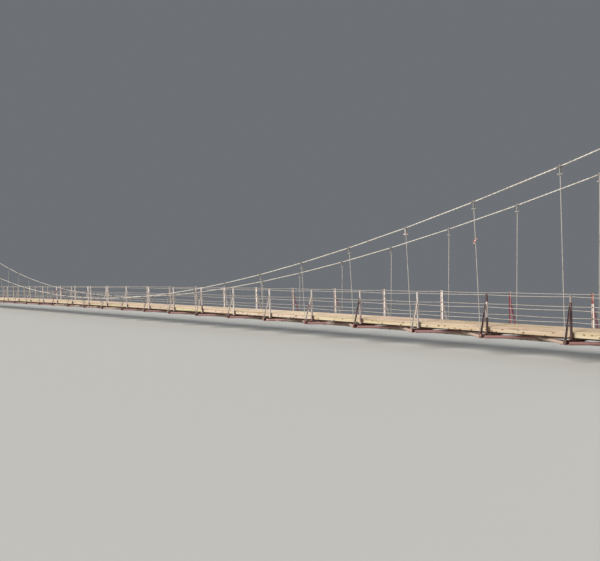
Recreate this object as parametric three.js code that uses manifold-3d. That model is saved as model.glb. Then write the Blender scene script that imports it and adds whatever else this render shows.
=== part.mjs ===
// A suspension footbridge with a plank deck, hung by thin rods from two steel cables, at a scale of 1:2.
// X runs along the bridge, Y across it (front is -Y), Z up. The origin is on the ground below mid-span.
// All sizes below are those of the real bridge in millimetres: the group at the end scales them down.
import * as THREE from "three";
import { mergeVertices } from "three/addons/utils/BufferGeometryUtils.js";
import Module from "manifold-3d";

const modelScale = 1 / 2;
const fitGap = 0.6; // between pieces that bear on each other

// Bridge layout
const bayLength = 2500;
const bayCount = 25;
const towerX = (bayCount * bayLength) / 2;
const deckEndZ = 800; // deck top at the towers, above the ground
const camberRise = 150; // deck top at mid-span, above the deck ends

// Deck
const deckHalfWidth = 582;
const plankThickness = 45;
const deckDepth = 190; // from the walking surface down to the crossbeams
const edgeBoardDepth = 150; // from the walking surface down to the edge boards' lower edge
const edgeBoardThickness = 40;
const edgeBoardInset = 7;
const stringerWidth = 80;
const sideStringerY = [455, 515];
const sleeperWidth = 120;
const deckOverrun = 300; // past the tower, on the abutment
const baysPerDeckSection = 5;

// Crossbeams, the wind bracing between them and the keel pipe under them
const beamHalfLength = 950;
const beamDepth = 100;
const beamWidth = 60;
const steelThickness = 8;
const endPlateSize = [74, 8, 114];
const windPipeRadius = 46;
const windPipeY = 860; // where a pipe's axis ends
const windPipeStop = 66; // from the pipe's end to the middle of the crossbeam
const windPipeRise = 22; // of a pipe's axis above its plates
const gussetHalfWidth = 70;
const gussetReach = 150;
const gussetThickness = 10;
const bracketHalfHeight = 70;
const keelRadius = 50;
const pipeSides = 8;

// Railings
const postY = 610;
const postWidth = 50;
const postTop = 950; // above the deck
const braceWidth = 40;
const braceTop = 740; // above the deck
const braceTopY = 625;
const braceFootY = 905;
const wireRadius = 8;
const wireHeights = [255, 565, 915]; // above the deck

// Cables and hangers
const cableRadius = 20;
const cableLowest = 300; // above the deck at mid-span
const cableSag = 4450;
const cableFlare = 258; // how much wider the cables stand at the towers than at mid-span
const hangerRadius = 10;
const hangerY = beamHalfLength + 10 + fitGap;
const lugWidth = 70;
const lugHeight = 120;
const lugThickness = 20;
const clampSize = [110, 56, 72];
const linkRadius = 17; // of the stirrup between the clamp and the yoke
const yokeSize = [150, 44, 26];
const yokeDrop = 190; // below the cable's axis
const rodSides = 4; // also of the railing wires

// Towers and anchorages
const legWidth = 200;
const plateThickness = 25;
const basePlateWidth = 450;
const topPlateLength = 480;
const topPlateWidth = 260;
const saddleRadius = 450; // to the cable's axis
const saddleOffset = 90; // of the saddle's centre, towards mid-span
const saddleHalfWidth = 60;
const saddleBody = 80; // solid height below the groove's lower end
const cheekThickness = 35;
const cheekHeight = 45;
const headroom = 2500;
const bracingTopGap = 120;
const bracingBar = 110;
const bracingDiagonal = 80;
const bracingDepth = 100;
const abutmentInner = 300; // from the tower's axis towards mid-span
const abutmentOuter = 1200;
const abutmentHalfWidth = 1600;
const stepCount = 2;
const stepTread = 300;
const stepHalfWidth = 700;
const anchorX = 37700; // where a cable meets its anchor block
const anchorZ = 600;
const anchorFaceLow = 250;
const anchorHeight = 1000;
const anchorEndX = 38800;
const anchorHalfWidth = 450;
const socketRadius = 52;
const socketLength = 280;

const wasm = await Module();
wasm.setup();

const axisX = new THREE.Vector3(1, 0, 0);
const axisY = new THREE.Vector3(0, 1, 0);
const axisZ = new THREE.Vector3(0, 0, 1);

const galvanized = new THREE.MeshStandardMaterial({ color: 0xb9b8ae, roughness: 0.5, metalness: 0.6 });
const fadedPaint = new THREE.MeshStandardMaterial({ color: 0xb79c94, roughness: 0.7, metalness: 0.1 });
const redPaint = new THREE.MeshStandardMaterial({ color: 0x9c5750, roughness: 0.7, metalness: 0.1 });
const pine = new THREE.MeshStandardMaterial({ color: 0xd8bf88, roughness: 0.85, metalness: 0 });
const concrete = new THREE.MeshStandardMaterial({ color: 0xa09c93, roughness: 0.95, metalness: 0 });

// Height of the deck's walking surface
function deckZ(x) {
  const ratio = Math.min(Math.abs(x) / towerX, 1);
  return deckEndZ + camberRise * (1 - ratio * ratio);
}

const bayLineX = (k) => (k - bayCount / 2) * bayLength;

// Each geometry as a manifold solid, and several of them joined into one geometry
function solidOf(geometry) {
  const bare = geometry.clone();
  bare.deleteAttribute("normal");
  bare.deleteAttribute("uv");
  const merged = mergeVertices(bare, 1e-3);
  return new wasm.Manifold(
    new wasm.Mesh({
      numProp: 3,
      vertProperties: merged.attributes.position.array,
      triVerts: new Uint32Array(merged.index.array),
    }),
  );
}

function geometryOf(solid) {
  const mesh = solid.getMesh();
  const geometry = new THREE.BufferGeometry();
  geometry.setAttribute("position", new THREE.BufferAttribute(mesh.vertProperties, 3));
  geometry.setIndex(new THREE.BufferAttribute(mesh.triVerts, 1));
  const faceted = geometry.toNonIndexed();
  faceted.computeVertexNormals();
  return faceted;
}

function joined(geometries) {
  return geometryOf(wasm.Manifold.union(geometries.map(solidOf)));
}

function outline(points) {
  return new THREE.Shape(points.map(([u, v]) => new THREE.Vector2(u, v)));
}

// A box from its lowest to its highest corner
function boxBetween(x0, y0, z0, x1, y1, z1) {
  const box = new THREE.BoxGeometry(x1 - x0, y1 - y0, z1 - z0);
  return box.translate((x0 + x1) / 2, (y0 + y1) / 2, (z0 + z1) / 2);
}

// An outline in the X-Z plane, pushed along Y from y0 to y1
function sideProfile(shape, y0, y1) {
  const solid = new THREE.ExtrudeGeometry(shape, { depth: y1 - y0, bevelEnabled: false });
  const turn = new THREE.Matrix4().makeBasis(axisX, axisZ, axisY.clone().negate());
  return solid.applyMatrix4(turn).translate(0, y1, 0);
}

// An outline in the Y-Z plane, pushed along X from x0 to x1
function crossProfile(shape, x0, x1) {
  const solid = new THREE.ExtrudeGeometry(shape, { depth: x1 - x0, bevelEnabled: false });
  return solid.applyMatrix4(new THREE.Matrix4().makeBasis(axisY, axisZ, axisX)).translate(x0, 0, 0);
}

function rodBetween(start, end, radius, sides) {
  const along = end.clone().sub(start);
  const rod = new THREE.CylinderGeometry(radius, radius, along.length(), sides);
  rod.applyQuaternion(new THREE.Quaternion().setFromUnitVectors(axisY, along.clone().normalize()));
  const middle = start.clone().add(end).multiplyScalar(0.5);
  return rod.translate(middle.x, middle.y, middle.z);
}

// A line given by a formula of x, sampled only at chosen stations
class StationedLine extends THREE.Curve {
  constructor(stations, pointAt) {
    super();
    this.stations = stations;
    this.pointAt = pointAt;
  }
  getPoint(t) {
    const place = t * (this.stations.length - 1);
    const before = Math.min(Math.floor(place), this.stations.length - 2);
    const x = THREE.MathUtils.lerp(this.stations[before], this.stations[before + 1], place - before);
    return this.pointAt(x);
  }
  getPointAt(t) {
    return this.getPoint(t);
  }
  getTangentAt(t) {
    return this.getTangent(t);
  }
}

function sweep(line, radius, sides) {
  const section = outline(
    Array.from({ length: sides }, (_, i) => {
      const angle = ((i + 0.5) / sides) * 2 * Math.PI;
      return [radius * Math.cos(angle), radius * Math.sin(angle)];
    }),
  );
  return new THREE.ExtrudeGeometry(section, { extrudePath: line, steps: line.stations.length - 1 });
}

// Shape of the main cable, in plan and in height
const legY = hangerY + cableFlare;
const mainSlope = (x) => (2 * cableSag * x) / (towerX * towerX);
const saddleX = towerX - saddleOffset;
let innerAngle = Math.atan(mainSlope(towerX));
for (let i = 0; i < 4; i += 1) {
  innerAngle = Math.atan(mainSlope(saddleX - saddleRadius * Math.sin(innerAngle)));
}
const saddleStartX = saddleX - saddleRadius * Math.sin(innerAngle);
const mainZ = (x) => deckZ(0) + cableLowest + cableSag * (x / towerX) ** 2;
const saddleZ = mainZ(saddleStartX) - saddleRadius * Math.cos(innerAngle);
const toAnchor = new THREE.Vector2(anchorX - saddleX, anchorZ - saddleZ);
const outerAngle = Math.asin(saddleRadius / toAnchor.length()) - Math.atan2(toAnchor.y, toAnchor.x);
const saddleEndX = saddleX + saddleRadius * Math.sin(outerAngle);
const saddleSteps = 6;
const saddleAngles = Array.from({ length: saddleSteps + 1 }, (_, i) =>
  THREE.MathUtils.lerp(-innerAngle, outerAngle, i / saddleSteps),
);

function cableZ(x) {
  const reach = Math.abs(x);
  if (reach < saddleStartX) return mainZ(reach);
  if (reach < saddleEndX) return saddleZ + Math.sqrt(saddleRadius ** 2 - (reach - saddleX) ** 2);
  return anchorZ + (anchorX - reach) * Math.tan(outerAngle);
}

function cableY(x) {
  const reach = Math.abs(x);
  if (reach < towerX) return hangerY + cableFlare * (reach / towerX) ** 2;
  return legY + ((reach - towerX) * 2 * cableFlare) / towerX;
}

// One main cable from anchor to anchor, with its hangers, clamps, end lugs and end sockets
function mainCable(side) {
  const pointAt = (x) => new THREE.Vector3(x, side * cableY(x), cableZ(x));
  const half = Array.from({ length: (bayCount - 1) / 2 }, (_, k) => (k + 0.5) * bayLength);
  half.push(...saddleAngles.map((angle) => saddleX + saddleRadius * Math.sin(angle)));
  const endX = anchorX - 2 * fitGap;
  half.push((saddleEndX + endX) / 2, endX);
  const stations = [...half.map((x) => -x).reverse(), ...half];
  const pieces = [sweep(new StationedLine(stations, pointAt), cableRadius, 6)];
  for (const end of [-1, 1]) {
    const tip = pointAt(end * endX);
    const inward = pointAt(end * (endX - 1000)).sub(tip).setLength(socketLength);
    pieces.push(rodBetween(tip, tip.clone().add(inward), socketRadius, 8));
  }
  for (let k = 1; k < bayCount; k += 1) pieces.push(...hanger(bayLineX(k), side));
  return joined(pieces);
}

function hanger(x, side) {
  const beamTop = deckZ(x) - deckDepth;
  const foot = new THREE.Vector3(x, side * hangerY, beamTop - lugHeight / 2);
  const top = new THREE.Vector3(x, side * cableY(x), cableZ(x));
  const head = top.clone().lerp(foot, yokeDrop / (top.z - foot.z));
  const slope = Math.atan(mainSlope(x));
  const clamp = new THREE.BoxGeometry(...clampSize).rotateY(-slope).translate(top.x, top.y, top.z);
  const yoke = new THREE.BoxGeometry(...yokeSize).translate(head.x, head.y, head.z);
  const lug = new THREE.BoxGeometry(lugWidth, lugThickness, lugHeight);
  lug.translate(x, side * hangerY, beamTop - beamDepth + lugHeight / 2);
  const rod = rodBetween(foot, head, hangerRadius, rodSides);
  const link = rodBetween(head, top, linkRadius, rodSides);
  return [rod, yoke, link, clamp, lug];
}

// A steel channel across the bridge, closed by an end plate at each end
function crossbeam(x) {
  const top = deckZ(x) - deckDepth - fitGap;
  const bottom = top - beamDepth;
  const west = x - beamWidth / 2;
  const east = x + beamWidth / 2;
  const channel = outline([
    [west, bottom],
    [east, bottom],
    [east, bottom + steelThickness],
    [west + steelThickness, bottom + steelThickness],
    [west + steelThickness, top - steelThickness],
    [east, top - steelThickness],
    [east, top],
    [west, top],
  ]);
  const channelReach = beamHalfLength - steelThickness / 2;
  const plates = [-1, 1].map((side) => {
    const plate = new THREE.BoxGeometry(...endPlateSize);
    return plate.translate(x, side * (beamHalfLength - steelThickness / 2), (top + bottom) / 2);
  });
  return joined([sideProfile(channel, -channelReach, channelReach), ...plates]);
}

// Pipes that cross in each bay between the ends of two crossbeams, slotted over plates under the beams,
// and the keel pipe under their crossings. The outermost plates are angles that stand against the abutment.
function windBracing(first) {
  const last = first + baysPerDeckSection;
  const plateTop = (x) => deckZ(x) - deckDepth - beamDepth - 2 * fitGap;
  const axisZ = (x) => plateTop(x) + windPipeRise;
  const abutmentFace = towerX - abutmentInner - fitGap;
  const carrierX = (k) => THREE.MathUtils.clamp(bayLineX(k), -abutmentFace, abutmentFace);
  const pieces = [];
  for (let k = first; k < last; k += 1) {
    const west = carrierX(k) + windPipeStop;
    const east = carrierX(k + 1) - windPipeStop;
    for (const side of [-1, 1]) {
      const start = new THREE.Vector3(west, side * windPipeY, axisZ(west));
      const end = new THREE.Vector3(east, -side * windPipeY, axisZ(east));
      pieces.push(rodBetween(start, end, windPipeRadius, pipeSides));
    }
  }
  const stations = Array.from({ length: baysPerDeckSection + 1 }, (_, i) => carrierX(first + i));
  if (first > 0) stations[0] += fitGap;
  const keelAt = (x) => new THREE.Vector3(x, 0, plateTop(x) - keelRadius);
  pieces.push(sweep(new StationedLine(stations, keelAt), keelRadius, pipeSides));
  for (let k = first; k <= last; k += 1) {
    const x = carrierX(k);
    const from = k === first ? x + (k > 0 ? fitGap : 0) : x - gussetReach;
    const to = k === last ? x : x + gussetReach;
    const top = plateTop(x);
    for (const side of [-1, 1]) {
      const y0 = side * windPipeY - gussetHalfWidth;
      const y1 = side * windPipeY + gussetHalfWidth;
      pieces.push(boxBetween(from, y0, top - gussetThickness, to, y1, top));
      const [z0, z1] = [top - bracketHalfHeight, top + bracketHalfHeight];
      if (k === 0) pieces.push(boxBetween(x, y0, z0, x + gussetThickness, y1, z1));
      if (k === bayCount) pieces.push(boxBetween(x - gussetThickness, y0, z0, x, y1, z1));
    }
  }
  return joined(pieces);
}

// A strip of the deck's side view between two depths, following the camber from bay line to bay line
function deckStrip(first, last, upper, lower) {
  const reach = [];
  for (let k = first; k <= last; k += 1) {
    const x = bayLineX(k);
    if (k === 0) reach.push(x - deckOverrun);
    reach.push(x + (k === first && k > 0 ? fitGap : 0));
    if (k === bayCount) reach.push(x + deckOverrun);
  }
  const over = reach.map((x) => [x, deckZ(x) - upper]);
  const under = reach.map((x) => [x, deckZ(x) - lower]);
  return outline([...under, ...over.reverse()]);
}

// Planks between edge boards, on three stringers and a sleeper over each crossbeam
function deckSection(first) {
  const last = first + baysPerDeckSection;
  const boardOuter = deckHalfWidth - edgeBoardInset;
  const boardInner = boardOuter - edgeBoardThickness;
  const overlap = 5;
  const board = deckStrip(first, last, plankThickness - overlap, edgeBoardDepth);
  const stringer = deckStrip(first, last, plankThickness - overlap, deckDepth);
  const [stringerInner, stringerOuter] = sideStringerY;
  const pieces = [
    sideProfile(deckStrip(first, last, 0, plankThickness), -deckHalfWidth, deckHalfWidth),
    sideProfile(board, boardInner, boardOuter),
    sideProfile(board, -boardOuter, -boardInner),
    sideProfile(stringer, stringerInner, stringerOuter),
    sideProfile(stringer, -stringerOuter, -stringerInner),
    sideProfile(stringer, -stringerWidth / 2, stringerWidth / 2),
  ];
  for (let k = first; k <= last; k += 1) {
    const x = bayLineX(k);
    const from = k === first && k > 0 ? x + fitGap : x - sleeperWidth / 2;
    const to = k === last && k < bayCount ? x : x + sleeperWidth / 2;
    const top = deckZ(x) - plankThickness + overlap;
    pieces.push(boxBetween(from, -boardInner - overlap, deckZ(x) - deckDepth, to, boardInner + overlap, top));
  }
  return joined(pieces);
}

// Posts with outward braces, and three wires from end to end
function railing(side) {
  const pieces = [];
  for (let k = 0; k <= bayCount; k += 1) {
    const x = bayLineX(k);
    const foot = deckZ(x) - deckDepth;
    const half = postWidth / 2;
    const y = side * postY;
    pieces.push(boxBetween(x - half, y - half, foot, x + half, y + half, deckZ(x) + postTop));
    if (k > 0 && k < bayCount) pieces.push(brace(x, side));
  }
  for (const height of wireHeights) {
    const stations = Array.from({ length: bayCount + 1 }, (_, k) => bayLineX(k));
    const pointAt = (x) => new THREE.Vector3(x, side * postY, deckZ(x) + height);
    pieces.push(sweep(new StationedLine(stations, pointAt), wireRadius, rodSides));
  }
  return joined(pieces);
}

function brace(x, side) {
  const foot = deckZ(x) - deckDepth;
  const top = deckZ(x) + braceTop;
  const lean = Math.hypot(braceFootY - braceTopY, top - foot) / (top - foot);
  const half = (braceWidth / 2) * lean;
  const corners = [
    [side * (braceFootY - half), foot],
    [side * (braceFootY + half), foot],
    [side * (braceTopY + half), top],
    [side * (braceTopY - half), top],
  ];
  if (side < 0) corners.reverse();
  return crossProfile(outline(corners), x - braceWidth / 2, x + braceWidth / 2);
}

const groundworkTop = deckEndZ - deckDepth - fitGap;
const saddleBaseZ = saddleZ + (saddleRadius - cableRadius) * Math.cos(outerAngle) - saddleBody;
const legTopZ = saddleBaseZ - fitGap;

function towerLeg(end, side) {
  const x = end * towerX;
  const y = side * legY;
  const plate = (length, width, z) =>
    boxBetween(x - length / 2, y - width / 2, z, x + length / 2, y + width / 2, z + plateThickness);
  const baseZ = groundworkTop + fitGap;
  const half = legWidth / 2;
  return joined([
    boxBetween(x - half, y - half, baseZ, x + half, y + half, legTopZ),
    plate(basePlateWidth, basePlateWidth, baseZ),
    plate(topPlateLength, topPlateWidth, legTopZ - plateThickness),
  ]);
}

// A crossed frame between the two legs of a tower, above head height
function towerBracing(end) {
  const low = deckEndZ + headroom;
  const high = legTopZ - bracingTopGap;
  const reach = legY - legWidth / 2 - fitGap;
  const middle = (low + high) / 2;
  const a = reach - bracingBar;
  const b = (high - low) / 2 - bracingBar;
  const width = (bracingDiagonal * Math.hypot(a, b)) / 2;
  const frame = outline([
    [-reach, low],
    [reach, low],
    [reach, high],
    [-reach, high],
  ]);
  for (const turn of [-1, 1]) {
    frame.holes.push(
      outline([
        [-turn * (a - width / b), middle + turn * b],
        [turn * (a - width / b), middle + turn * b],
        [0, middle + (turn * width) / a],
      ]),
      outline([
        [turn * a, middle - turn * (b - width / a)],
        [turn * a, middle + turn * (b - width / a)],
        [(turn * width) / b, middle],
      ]),
    );
  }
  const x = end * towerX;
  return crossProfile(frame, x - bracingDepth / 2, x + bracingDepth / 2);
}

// A grooved block that a cable bends over, between two cheeks
function saddle(end, side) {
  const fan = (radius) => {
    const arc = saddleAngles.map((angle) => [
      end * (saddleX + radius * Math.sin(angle)),
      saddleZ + radius * Math.cos(angle),
    ]);
    const points = [[arc[0][0], saddleBaseZ], [arc[saddleSteps][0], saddleBaseZ], ...arc.reverse()];
    return outline(end > 0 ? points : points.reverse());
  };
  const grooveRadius = saddleRadius - cableRadius - fitGap;
  const y = side * legY;
  const inner = saddleHalfWidth - cheekThickness;
  const cheek = fan(grooveRadius + cheekHeight);
  return joined([
    sideProfile(fan(grooveRadius), y - saddleHalfWidth, y + saddleHalfWidth),
    sideProfile(cheek, y - saddleHalfWidth, y - inner - cheekThickness / 3),
    sideProfile(cheek, y + inner + cheekThickness / 3, y + saddleHalfWidth),
  ]);
}

// A concrete block that carries the deck's end and the tower, with cast steps behind it
function abutment(end) {
  const span = (from, to, halfWidth, top) => {
    const [x0, x1] = [end * from, end * to].sort((p, q) => p - q);
    return boxBetween(x0, -halfWidth, 0, x1, halfWidth, top);
  };
  const outer = towerX + abutmentOuter;
  const pieces = [span(towerX - abutmentInner, outer, abutmentHalfWidth, groundworkTop)];
  for (let i = 1; i <= stepCount; i += 1) {
    const top = (groundworkTop * (stepCount + 1 - i)) / (stepCount + 1);
    pieces.push(span(outer - stepTread, outer + i * stepTread, stepHalfWidth, top));
  }
  return joined(pieces);
}

// A concrete block with a sloping face square to the cable that it holds
function anchorBlock(end, side) {
  const face = (z) => end * (anchorX + (z - anchorZ) * Math.tan(outerAngle));
  const points = [
    [face(anchorFaceLow), 0],
    [end * anchorEndX, 0],
    [end * anchorEndX, anchorHeight],
    [face(anchorHeight), anchorHeight],
    [face(anchorFaceLow), anchorFaceLow],
  ];
  if (end < 0) points.reverse();
  const y = side * cableY(anchorX);
  return sideProfile(outline(points), y - anchorHalfWidth, y + anchorHalfWidth);
}

const bridge = new THREE.Group();
bridge.scale.setScalar(modelScale);

function place(name, geometry, material) {
  const mesh = new THREE.Mesh(geometry, material);
  mesh.name = name;
  bridge.add(mesh);
}

const ends = { left: -1, right: 1 };
const sides = { front: -1, back: 1 };

for (const [endName, end] of Object.entries(ends)) {
  place(`${endName}_abutment`, abutment(end), concrete);
  place(`${endName}_tower_bracing`, towerBracing(end), redPaint);
  for (const [sideName, side] of Object.entries(sides)) {
    place(`${endName}_${sideName}_tower_leg`, towerLeg(end, side), redPaint);
    place(`${endName}_${sideName}_saddle`, saddle(end, side), redPaint);
    place(`${endName}_${sideName}_anchor_block`, anchorBlock(end, side), concrete);
  }
}
for (const [sideName, side] of Object.entries(sides)) {
  place(`${sideName}_main_cable`, mainCable(side), galvanized);
  place(`${sideName}_railing`, railing(side), fadedPaint);
}
for (let k = 1; k < bayCount; k += 1) {
  place(`crossbeam_${String(k).padStart(2, "0")}`, crossbeam(bayLineX(k)), redPaint);
}
for (let first = 0; first < bayCount; first += baysPerDeckSection) {
  const section = first / baysPerDeckSection + 1;
  place(`deck_section_${section}`, deckSection(first), pine);
  place(`wind_bracing_${section}`, windBracing(first), redPaint);
}

export default bridge;
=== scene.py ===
# %% [markdown]
# # A suspension footbridge, dressed
# The real bridge is 62.5 m long between its towers, and the model is half that size. The model's frame is in
# metres: X along the bridge, Y across it (the front side is -Y), Z up, with the origin on the ground below
# mid-span. The solid model comes in first as a fixed frame. The steps after it either give its pieces a
# finish, or put a more detailed piece where a plain one was.

# %% Load the fixed frame
import math
import random

import bmesh
import bpy
from mathutils import Matrix, Vector


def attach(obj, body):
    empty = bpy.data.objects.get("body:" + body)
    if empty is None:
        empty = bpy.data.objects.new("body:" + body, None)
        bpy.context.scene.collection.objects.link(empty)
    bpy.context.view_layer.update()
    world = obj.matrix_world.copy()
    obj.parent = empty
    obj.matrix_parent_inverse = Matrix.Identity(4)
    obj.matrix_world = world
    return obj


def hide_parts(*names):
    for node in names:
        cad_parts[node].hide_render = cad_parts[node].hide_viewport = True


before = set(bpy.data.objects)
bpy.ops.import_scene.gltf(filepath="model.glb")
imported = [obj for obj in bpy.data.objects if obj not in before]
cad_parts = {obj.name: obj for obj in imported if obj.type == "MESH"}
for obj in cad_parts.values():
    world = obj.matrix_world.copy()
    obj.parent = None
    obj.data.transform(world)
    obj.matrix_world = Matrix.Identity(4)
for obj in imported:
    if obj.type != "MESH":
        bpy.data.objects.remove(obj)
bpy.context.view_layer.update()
print("solid pieces:", len(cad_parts))

# %% [markdown]
# ## Driving dimensions
# Sizes and places are in millimetres of the real bridge, so that they can be compared with a real one. `mm`
# turns them into metres of the model, in the few places that hand them to Blender. The deck rises in a
# shallow parabola, and each main cable hangs in a deeper one that also spreads outwards towards the towers.
# Both run straight from one bay line to the next, because a crossbeam and a hanger load them only there.

# %% Driving dimensions
def mm(real):
    return real * 0.0005


BAY = 2500
BAY_COUNT = 25
TOWER_X = BAY * BAY_COUNT / 2
DECK_END_Z = 800
CAMBER = 150
DECK_HALF_WIDTH = 582
DECK_DEPTH = 190
EDGE_DEPTH = 150
PLANK_THICKNESS = 45
BEAM_DEPTH = 100
BEAM_HALF_LENGTH = 950
POST_Y = 610
POST_TOP = 950
WIRE_HEIGHTS = [255, 565, 915]
CABLE_RADIUS = 20
CABLE_LOWEST = 300
CABLE_SAG = 4450
CABLE_FLARE = 258
HANGER_Y = 960.6
SEAT_GAP = 0.6
SIDES = {"front": -1, "back": 1}
ENDS = {"left": -1, "right": 1}


def bay_x(k):
    """Where bay line k is, counted from 0 at the left tower."""
    return (k - BAY_COUNT / 2) * BAY


def deck_z(x):
    ratio = min(abs(x) / TOWER_X, 1)
    return DECK_END_Z + CAMBER * (1 - ratio * ratio)


def straight(rule, x):
    """A rule of x, taken on the straight line between the two bay lines on either side of x."""
    k = min(max(math.floor(x / BAY + BAY_COUNT / 2), 0), BAY_COUNT - 1)
    share = (x - bay_x(k)) / BAY
    return rule(bay_x(k)) * (1 - share) + rule(bay_x(k + 1)) * share


def cable_z(x):
    return deck_z(0) + CABLE_LOWEST + CABLE_SAG * (x / TOWER_X) ** 2


def cable_y(x):
    return HANGER_Y + CABLE_FLARE * (x / TOWER_X) ** 2


print("deck top at mid-span:", deck_z(0), "mm, and at the towers:", DECK_END_Z, "mm")

# %% [markdown]
# ## Camera
# The photograph was taken from the bank, to the right and in front of the bridge, at about eye height
# above its deck. The camera's place, turn and lens were worked out from the posts, hangers and deck edges.
# The place is in the model's metres. `camera_yaw` turns the camera from +Y towards the far end,
# `camera_pitch` is a slight look down, and `camera_roll` tips it.

# %% Camera
camera_place = Vector((18.526, -8.537, 1.348))
camera_yaw = 0.85479
camera_pitch = -0.01995
camera_roll = 0.02822


def added(name, data):
    """A new object in the scene."""
    thing = bpy.data.objects.new(name, data)
    bpy.context.scene.collection.objects.link(thing)
    return thing


camera_data = bpy.data.cameras.new("camera")
camera_data.lens = 39.70
camera_data.sensor_width = 36
camera_data.clip_end = 400
camera = added("camera", camera_data)
level_turn = Matrix.Rotation(camera_yaw, 4, "Z") @ Matrix.Rotation(math.pi / 2 + camera_pitch, 4, "X")
camera.matrix_world = Matrix.Translation(camera_place) @ level_turn @ Matrix.Rotation(-camera_roll, 4, "Z")
bpy.context.scene.camera = camera
print("camera at", tuple(round(number, 3) for number in camera_place))

# %% [markdown]
# ## Floor and light
# The object stands on a plain pale floor. A wide soft sun comes in low from the front, because the
# photograph shows the fascia boards half as bright again as the deck's top, and pink pipes lit far in under
# the deck. A weak cool light from behind shows the back side, and an even grey world fills the shadows. The
# floor ends 3.9 m behind the bridge, where the deck hides its edge from the camera, so that the thin pale
# cables, rods and wires stand against the darker grey.

# %% Floor and light
FLOOR_REACH = 150
FLOOR_BACK = 3.9


def new_material(name):
    material = bpy.data.materials.new(name)
    material.use_nodes = True
    tree = material.node_tree
    tree.nodes.clear()
    out = tree.nodes.new("ShaderNodeOutputMaterial")
    shader = tree.nodes.new("ShaderNodeBsdfPrincipled")
    tree.links.new(shader.outputs["BSDF"], out.inputs["Surface"])
    return material, tree, shader


def add_sun(name, energy, degrees, colour, comes_from):
    """A wide soft light from far away, so that it falls alike on the whole length of the bridge."""
    light = bpy.data.lights.new(name, "SUN")
    light.energy = energy
    light.angle = math.radians(degrees)
    light.color = colour
    added(name, light).rotation_euler = (-Vector(comes_from)).to_track_quat("-Z", "Y").to_euler()


floor_material, _, floor_shader = new_material("pale_floor")
floor_shader.inputs["Base Color"].default_value = (0.60, 0.60, 0.58, 1)
floor_shader.inputs["Roughness"].default_value = 0.9
floor_corners = [(x, -FLOOR_REACH, 0) for x in (-FLOOR_REACH, FLOOR_REACH)]
floor_corners += [(x, FLOOR_BACK, 0) for x in (FLOOR_REACH, -FLOOR_REACH)]
floor_mesh = bpy.data.meshes.new("floor")
floor_mesh.from_pydata(floor_corners, [], [(0, 1, 2, 3)])
floor_mesh.materials.append(floor_material)
floor = added("floor", floor_mesh)

world = bpy.data.worlds.new("studio")
world.use_nodes = True
world.node_tree.nodes["Background"].inputs["Color"].default_value = (0.155, 0.165, 0.178, 1)
world.node_tree.nodes["Background"].inputs["Strength"].default_value = 1.0
bpy.context.scene.world = world
bpy.context.scene.view_settings.view_transform = "Standard"
add_sun("soft_sun", 4.1, 30, (1.0, 0.96, 0.90), (-0.10, -0.80, 0.46))
add_sun("back_fill", 0.9, 60, (0.92, 0.96, 1.0), (0.35, 0.85, 0.30))
print("lights:", len(bpy.data.lights))

# %% [markdown]
# ## Building node trees
# Each effect that several materials need is a node group with named sockets, built once. `add_node` makes a
# node from one line: its type, its settings, and what feeds each input, so that a reader can follow the
# wiring without a screenshot. The other helpers name the few sums that come up again and again.

# %% Nodes and groups
def feed(tree, socket, value):
    """Links a socket to the output that feeds it, or sets it to a plain value."""
    if isinstance(value, bpy.types.NodeSocket):
        tree.links.new(value, socket)
    else:
        socket.default_value = value


def add_node(tree, kind, settings=None, **feeds):
    """A node with its settings. A feed names its input, with _ for a space, or numbers it, as in i0."""
    node = tree.nodes.new(kind)
    for key, value in (settings or {}).items():
        setattr(node, key, value)
    for key, value in feeds.items():
        numbered = key[0] == "i" and key[1:].isdigit()
        feed(tree, node.inputs[int(key[1:]) if numbered else key.replace("_", " ")], value)
    return node


def new_group(name, inputs, outputs, kind="ShaderNodeTree"):
    """A node group, with the sockets inside it that give its inputs and take its outputs."""
    group = bpy.data.node_groups.new(name, kind)
    for label, socket_type, value in inputs:
        socket = group.interface.new_socket(label, in_out="INPUT", socket_type="NodeSocket" + socket_type)
        if value is not None:
            socket.default_value = value
    for label, socket_type in outputs:
        group.interface.new_socket(label, in_out="OUTPUT", socket_type="NodeSocket" + socket_type)
    return group, group.nodes.new("NodeGroupInput").outputs, group.nodes.new("NodeGroupOutput").inputs


def placed_group(tree, group, **feeds):
    return add_node(tree, "ShaderNodeGroup", {"node_tree": group}, **feeds).outputs


print("node builder ready")

# %% [markdown]
# ### Sums and patterns
# A shader is mostly arithmetic on numbers from 0 to 1: how much rust, how much grain, how much stain. Each
# such sum could be wired by hand, but a short name for it is easier to read. `stepped` turns a cloudy noise
# into patches with an edge, and `weighted` lays a fine noise over a coarse one.

# %% Sums and patterns
def maths(tree, operation, first, second=0.0, third=0.0):
    feeds = {"i0": first, "i1": second, "i2": third}
    return add_node(tree, "ShaderNodeMath", {"operation": operation}, **feeds).outputs[0]


def times(tree, first, second):
    return maths(tree, "MULTIPLY", first, second)


def minus(tree, first, second):
    return maths(tree, "SUBTRACT", first, second)


def inverse(tree, share):
    return minus(tree, 1.0, share)


def scaled(tree, value, factor, start=0.0):
    """The start plus the value times the factor."""
    return maths(tree, "MULTIPLY_ADD", value, factor, start)


def weighted(tree, first, first_share, second, second_share):
    """The sum of two values, each times its share."""
    return scaled(tree, first, first_share, times(tree, second, second_share))


def stepped(tree, value, low, high):
    """0 below low, 1 above high, and a smooth step between them."""
    settings = {"interpolation_type": "SMOOTHSTEP"}
    feeds = {"Value": value, "From_Min": low, "From_Max": high}
    return add_node(tree, "ShaderNodeMapRange", settings, **feeds).outputs["Result"]


def mixed(tree, factor, first, second, blend="MIX"):
    """Two colours mixed by a factor from 0 to 1."""
    settings = {"data_type": "RGBA", "blend_type": blend}
    return add_node(tree, "ShaderNodeMix", settings, i0=factor, i6=first, i7=second).outputs[2]


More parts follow.
